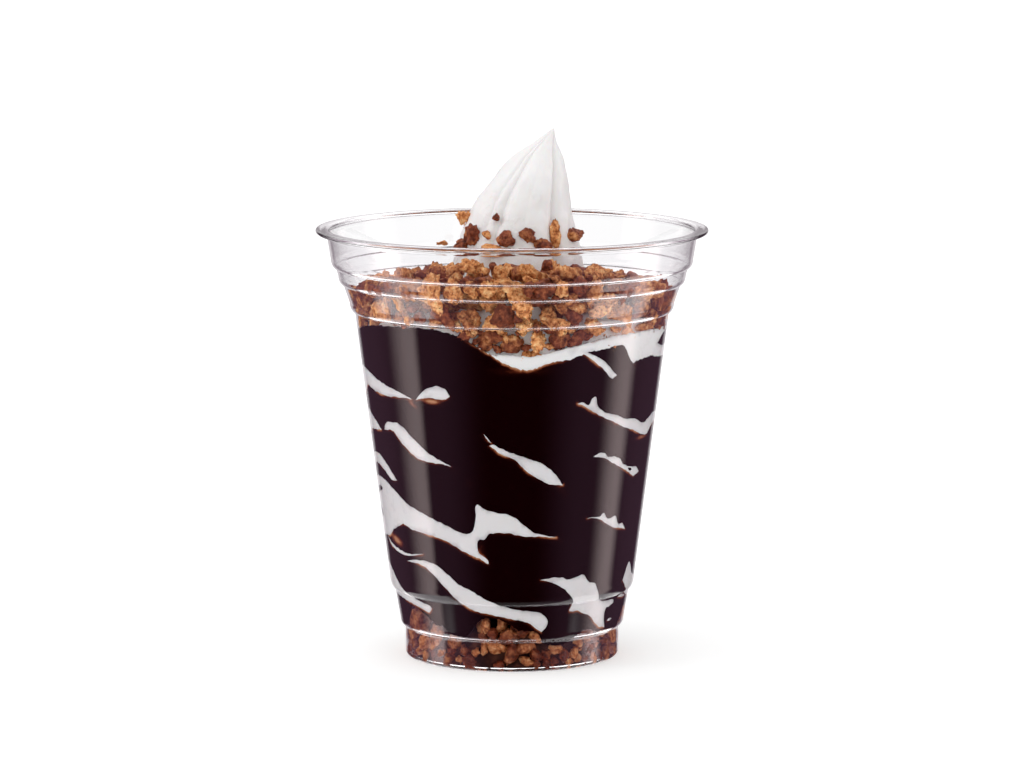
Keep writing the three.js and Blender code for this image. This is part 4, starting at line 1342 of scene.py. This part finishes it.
def keepInTopHeap(places, radii, fixed):
    offWall, offFloor, offTop = topHeap["keepOff"]
    radius = np.hypot(places[:, 0], places[:, 1])
    azimuth = np.degrees(np.arctan2(places[:, 0], -places[:, 1]))
    bound = np.clip(radius, topHeap["innerRadius"], foodRadius(places[:, 2]) - offWall * radii)
    bound = np.where(fixed, radius, bound)
    places = places.copy()
    places[:, :2] *= (bound / np.maximum(radius, 1e-6))[:, None]
    foot = topFoot(azimuth)
    floor = np.maximum(moundHeight(azimuth, bound), foot)
    floor = np.where(bound > topHeap["wallZone"][1], foot, floor)
    low = floor + offFloor * radii
    high = np.maximum(heapHeight(azimuth, bound) - offTop * radii, low)
    places[:, 2] = np.where(fixed, places[:, 2], np.clip(places[:, 2], low, high))
    return places


def makeTopCrunch():
    draw = np.random.default_rng(topHeap["seed"])
    chunks = []
    for azimuth, radius, height, across, up, lean, kind, tone in topHeap["seen"]:
        across = min(across, topHeap["widest"])
        through = float(np.clip(0.6 * min(across, up), *topHeap["thickness"]))
        flat = kind < chunkLooks["nugget"]["first"]  # flakes lie flat against the wall
        chunks.append({
            "place": onCircle(azimuth, radius, height),
            "size": np.array((across, up, 2 * through) if flat else (across, through, up)),
            "turn": np.array((math.pi / 2 if flat else 0, math.radians(lean), math.radians(azimuth))),
            "kind": kind, "tone": tone, "fixed": True, "look": "flake" if flat else "nugget",
        })
    for look in ("flake", "nugget", "crumb"):
        count, sizes, tones, atWall = topHeap[look]
        for _ in range(count):
            chunk = randomChunk(draw, sizes, look, tones)
            azimuth = draw.uniform(-180, 180)
            radius = math.sqrt(draw.uniform(topHeap["innerRadius"] ** 2, topHeap["spread"] ** 2))
            if draw.random() < atWall:
                radius = topHeap["atWall"]
            low = float(topFoot(azimuth))
            if radius < topHeap["wallZone"][0]:
                low = max(low, float(moundHeight(azimuth, radius)))
            high = float(heapHeight(azimuth, radius))
            chunk["place"] = onCircle(azimuth, radius, draw.uniform(low, max(high, low)))
            chunks.append(chunk)
    count, sizes, tones, azimuths, radii = topHeap["onTop"]
    for i in range(count):
        chunk = randomChunk(draw, sizes, "flake" if i % 2 else "crumb", tones)
        azimuth = draw.uniform(*azimuths)
        radius = draw.uniform(*radii)
        chunk["place"] = onCircle(azimuth, radius, float(heapHeight(azimuth, radius)) - 1)
        chunks.append(chunk)
    settle(chunks, keepInTopHeap)
    for name, looks in (("topFlakes", ("flake",)), ("topNuggets", ("nugget", "crumb"))):
        piece = makeCrunch(name, [chunk for chunk in chunks if chunk["look"] in looks], litCrunchPaint)
        pressToWall(piece, lambda azimuth, height: foodRadius(height) + 0.05)
        finishCrunch(piece, "top_crunch")
        print(name, len(piece.data.polygons))


footHeap = {
    # How many, sizes, from and to height, and kind
    "wall": (112, (1.9, 4.0), (1.5, 13.5), "nut"),
    "inside": (50, (1.6, 2.6), (1.5, 4), "crumb"),
    "low": (75, (1.3, 2.2), (1.5, 4), "crumb"),  # along the edge of the floor
    "radii": (23, 25),  # of the inside, and near the wall
    "tones": (-0.1, 0.95),
    "seed": 4,
    "underSauce": (0.9, 0.98),  # the sauce on the wall pushes the chunks, and their points, this far in
    "keepOff": (0.6, 0.55, 0.4),  # from the wall, the floor and the top, in a chunk's own radii
    "heights": (0.7, 13.4),
    "floor": [(0, 1.35), (22.3, 0.8), (24.9, 0.57), (27, 0.6)],  # height of the cup's floor by radius
    # Painted shade: a dark core inside the heap, seen in the gaps between the pieces that show, as (radius,
    # height)
    "shadeCore": [
        (0, 0.95), (25.4, 0.66), (25.9, 1.2), (25.2, 2.6), (25, 7.5), (23.6, 10.6), (20, 12.4), (0, 12.8),
    ],
    "shadeCoreRough": 0.035,
}


def keepInFoot(places, radii, fixed):
    radius = np.hypot(places[:, 0], places[:, 1])
    azimuth = np.degrees(np.arctan2(places[:, 0], -places[:, 1]))
    places = places.copy()
    offWall, offFloor, offTop = footHeap["keepOff"]
    low, high = footHeap["heights"]
    places[:, 2] = np.clip(places[:, 2], low + offFloor * radii, high - offTop * radii)
    covered = places[:, 2] > sauceFoot(azimuth)
    most = foodRadius(places[:, 2]) - offWall * radii - footHeap["underSauce"][0] * covered
    bound = np.minimum(radius, most)
    places[:, :2] *= (bound / np.maximum(radius, 1e-6))[:, None]
    return places


def makeBaseCrunch():
    draw = np.random.default_rng(footHeap["seed"])
    chunks = []
    inner, outer = footHeap["radii"]
    for where in ("wall", "inside", "low"):
        count, sizes, heights, look = footHeap[where]
        for _ in range(count):
            chunk = randomChunk(draw, sizes, look, footHeap["tones"])
            radius = math.sqrt(draw.uniform(0, inner**2)) if where == "inside" else outer
            height = draw.uniform(*heights)
            chunk["place"] = onCircle(draw.uniform(-180, 180), radius, height)
            chunks.append(chunk)
    settle(chunks, keepInFoot)
    piece = makeCrunch("baseCrunch", chunks, nutPaint)

    def limit(azimuth, height):
        covered = height > sauceFoot(azimuth) - 0.2
        return foodRadius(height) + 0.04 - footHeap["underSauce"][1] * covered

    pressToWall(piece, limit, lineOf(footHeap["floor"]))
    finishCrunch(piece, "base_crunch")
    print("baseCrunch", len(piece.data.polygons))


def shade():
    material, tree = startMaterial("crunchShade")
    place = makeNode(tree, "ShaderNodeTexCoord", None, None, "Object")
    patches = makeNode(tree, "ShaderNodeTexNoise", None, {"Vector": place, "Scale": 300, "Detail": 3})
    colour = mixColours(tree, patches.smooth(0.35, 0.7), (0.018, 0.004, 0.003), (0.07, 0.02, 0.012))
    finishMaterial(tree, makeNode(tree, "ShaderNodeBsdfPrincipled", None, {
        "Base Color": colour, "Roughness": 0.7, "Specular IOR Level": 0.1,
    }))
    return material


# painted shade: a dark lump fills the heap's inside, so its gaps look deep in shade
def makeBaseShadeCore():
    bottom, *edge, top = footHeap["shadeCore"]
    vertices, faces = turnedMesh([bottom, *smoothCurve(edge, 1.0), top], 120)
    rough = np.array([noise.fractal(Vector(v) * 0.4, 1.0, 2.0, 3) for v in vertices])
    vertices[:, :2] *= (1 + footHeap["shadeCoreRough"] * rough)[:, None]
    shadeCore = makeObject("baseBulk", vertices * mm, faces)
    shadeCore.data.materials.append(shade())
    finishCrunch(shadeCore, "base_crunch")


caught = {
    # On the front of the peak: x, height, radius across and up, tone
    "front": [
        (-12.1, 110.4, 1.9, 2.6, 0.1), (-9.6, 106.4, 2.7, 3.2, 0.8), (-6.1, 107.3, 1.2, 1.4, 0.5),
        (-3.7, 111.3, 1.0, 1.4, 0.8), (-1.7, 106, 2.6, 2.7, 0.75), (4, 107, 2.4, 2.1, 0.85),
        (7.2, 104.9, 2.7, 2.1, 0.7), (10.7, 107, 1.9, 4.6, 0.2), (15.4, 106.1, 2.8, 3.2, 0.75),
        (-12.3, 104, 2.8, 1.6, 0.8), (-5.2, 103.8, 3.2, 1.6, 0.1), (-17.4, 103.8, 1.4, 0.8, 0.5),
    ],
    "behind": {"count": 5, "across": (-11, 14), "height": (103.5, 109.5), "radius": (1.4, 2.4)},
    "seed": 11,
    "depth": 0.95,  # the share of the peak's half width at which a piece sits
}


def makeCaughtCrunch():
    leftSide, rightSide = lineOf(softServeShape["outline"]), lineOf(softServeShape["outline"], 2)
    draw = np.random.default_rng(caught["seed"])
    behind = caught["behind"]
    spots = [(x, z, wide, high, tone, -1) for x, z, wide, high, tone in caught["front"]]
    for i in range(behind["count"]):
        left, right = behind["across"]
        x = left + (right - left) * (i + draw.random()) / behind["count"]
        size = draw.uniform(*behind["radius"])
        spots.append((x, draw.uniform(*behind["height"]), size, size, draw.random(), 1))
    chunks = []
    for i, (x, z, wide, high, tone, side) in enumerate(spots):
        left, right = float(leftSide(z)), float(rightSide(z))
        half = (right - left) / 2
        off = (x - (left + right) / 2) / half
        out = caught["depth"] * half * math.sqrt(max(0, 1 - off**2))
        chunks.append({
            "place": (x, side * out, z), "size": (wide, wide, high), "kind": 10 + i % 8, "tone": tone,
            "turn": (draw.uniform(-0.3, 0.3), draw.uniform(-0.3, 0.3), draw.uniform(-3, 3)),
        })
    piece = makeCrunch("caughtCrunch", chunks, litCrunchPaint)
    finishCrunch(piece, "soft_serve")


makeTopCrunch()
makeBaseCrunch()
makeBaseShadeCore()
makeCaughtCrunch()
for shape in list(chunkShapes.objects):
    bpy.data.objects.remove(shape)
bpy.data.collections.remove(chunkShapes)
print("crunch ready")


studio = {
    "backdrop": 1.02,
    "ambient": (0.56, 0.46),  # light on the food from all round, and how much more from above
    "ambientEdges": (-0.3, 0.9),
    "leftward": 0.08,
    "floor": (0.85, 0.36),  # its colour and its own light
    "dim": (0.4, 0.75, 0.55),  # seen through the cup, the backdrop is darker far up and down
    "key": {"place": (-1.1, -0.5, 0.9), "aim": (0, 0, 0.07), "power": 1.8, "size": 0.5},
    # What the cup mirrors. By the angle from the front: from, full, full, to
    "leftStrip": (74, 82, 84, 111),
    "rightStrip": (75, 96, 100, 114),
    "strip": 2.4,
    "stripTint": (1.0, 0.82, 0.8),
    "tentEdges": (18, 62, 112, 155),
    "tent": 0.27,
    "tentFade": 0.6,
    "tentTint": (1.0, 0.52, 0.84),
    "veilEdges": (60, 72),
    "veil": 2.2,  # the bright table to either side, in the cup's upper ledges
    "behindEdges": (155, 166, 168, 176),
    "behind": 0.65,
    "behindFade": 0.4,
    # By the direction's height
    "tableEdges": (-0.5, -0.42),
    "underEdges": (-0.85, -0.65),
    "under": 0.4,
    "aboveEdges": (0.02, 0.36),
    "above": 0.7,
}


def colourOf(tree, grey):
    return makeNode(tree, "ShaderNodeCombineColor", None, {0: grey, 1: grey, 2: grey})


def makeFloor():
    size = 6.0
    corners = [(-size, -size, 0), (size, -size, 0), (size, size, 0), (-size, size, 0)]
    floor = makeObject("floor", corners, [(0, 1, 2, 3)], False)
    material, tree = startMaterial("paleFloor")
    pale, own = studio["floor"]
    finishMaterial(tree, makeNode(tree, "ShaderNodeBsdfPrincipled", None, {
        "Base Color": (pale, pale, pale, 1),
        "Roughness": 1.0,
        "Specular IOR Level": 0.0,
        "Emission Color": (1, 1, 1, 1),
        "Emission Strength": own,
    }))
    floor.data.materials.append(material)
    floor.visible_glossy = False
    floor.visible_transmission = False


def makeWorld():
    world = bpy.data.worlds.new("studio")
    world.use_nodes = True
    bpy.context.scene.world = world
    tree = world.node_tree
    tree.nodes.clear()
    way = makeNode(tree, "ShaderNodeTexCoord", None, None, "Generated")
    split = tree.nodes.new("ShaderNodeSeparateXYZ")
    tree.links.new(way.socket, split.inputs[0])
    x, y, z = [Field(tree, socket) for socket in split.outputs]
    side = x.maths("ARCTAN2", x, 0 - y) * math.degrees(1)
    wide = side.absolute()

    def band(angle, edges, fade=1.0):
        return angle.smooth(*edges[:2]) * (1 - angle.smooth(*edges[2:]) * fade)

    def tinted(tint, amount):
        return mixColours(tree, 1.0, tint, colourOf(tree, amount), "MULTIPLY")

    below = 1 - z.smooth(*studio["tableEdges"])
    strips = (band(0 - side, studio["leftStrip"]) + band(side, studio["rightStrip"])) * (1 - below)
    tent = band(wide, studio["tentEdges"], studio["tentFade"])
    veil = below * wide.smooth(*studio["veilEdges"])
    behind = band(wide, studio["behindEdges"], studio["behindFade"])
    above = z.smooth(*studio["aboveEdges"])
    under = (1 - z.smooth(*studio["underEdges"])) * (1 - veil)
    reflected = veil * studio["veil"] + behind * studio["behind"]
    reflected = reflected + above * studio["above"] + under * studio["under"]
    warm = tinted(studio["stripTint"], strips * studio["strip"])
    haze = tinted(studio["tentTint"], tent * studio["tent"])
    mirrored = mixColours(tree, 1.0, warm, colourOf(tree, reflected), "ADD")
    mirrored = mixColours(tree, 1.0, mirrored, haze, "ADD")
    low, more = studio["ambient"]
    soft = z.smooth(*studio["ambientEdges"]) * more + low - x * studio["leftward"]
    paths = tree.nodes.new("ShaderNodeLightPath").outputs
    kinds = ("Glossy", "Transmission", "Camera")
    glossy, through, seen = [Field(tree, paths[f"Is {kind} Ray"]) for kind in kinds]
    bounced = Field(tree, paths["Glossy Depth"]) > 0.5
    start, full, amount = studio["dim"]
    bright = studio["backdrop"] * (1 - z.absolute().smooth(start, full) * amount)
    inMirror = (glossy * (1 - through) + bounced * (1 - through * z.smooth(-0.12, 0.12))).smooth(0, 1)
    plain = seen * studio["backdrop"] + through * bright + (1 - seen - through) * soft
    colour = mixColours(tree, inMirror, colourOf(tree, plain), mirrored)
    light = makeNode(tree, "ShaderNodeBackground", None, {"Color": colour, "Strength": 1.0})
    makeNode(tree, "ShaderNodeOutputWorld", None, {"Surface": light})


def makeLight(name, place, aim, power, size):
    data = bpy.data.lights.new(name, "AREA")
    data.energy = power
    data.size = size
    light = bpy.data.objects.new(name, data)
    light.location = place
    way = Vector(aim) - Vector(place)
    light.rotation_euler = way.to_track_quat("-Z", "Y").to_euler()
    light.visible_camera = False
    light.visible_glossy = False
    light.visible_transmission = False
    bpy.context.scene.collection.objects.link(light)


makeFloor()
makeWorld()
makeLight("key", **studio["key"])
bpy.context.scene.view_settings.view_transform = "Standard"
print("studio ready")
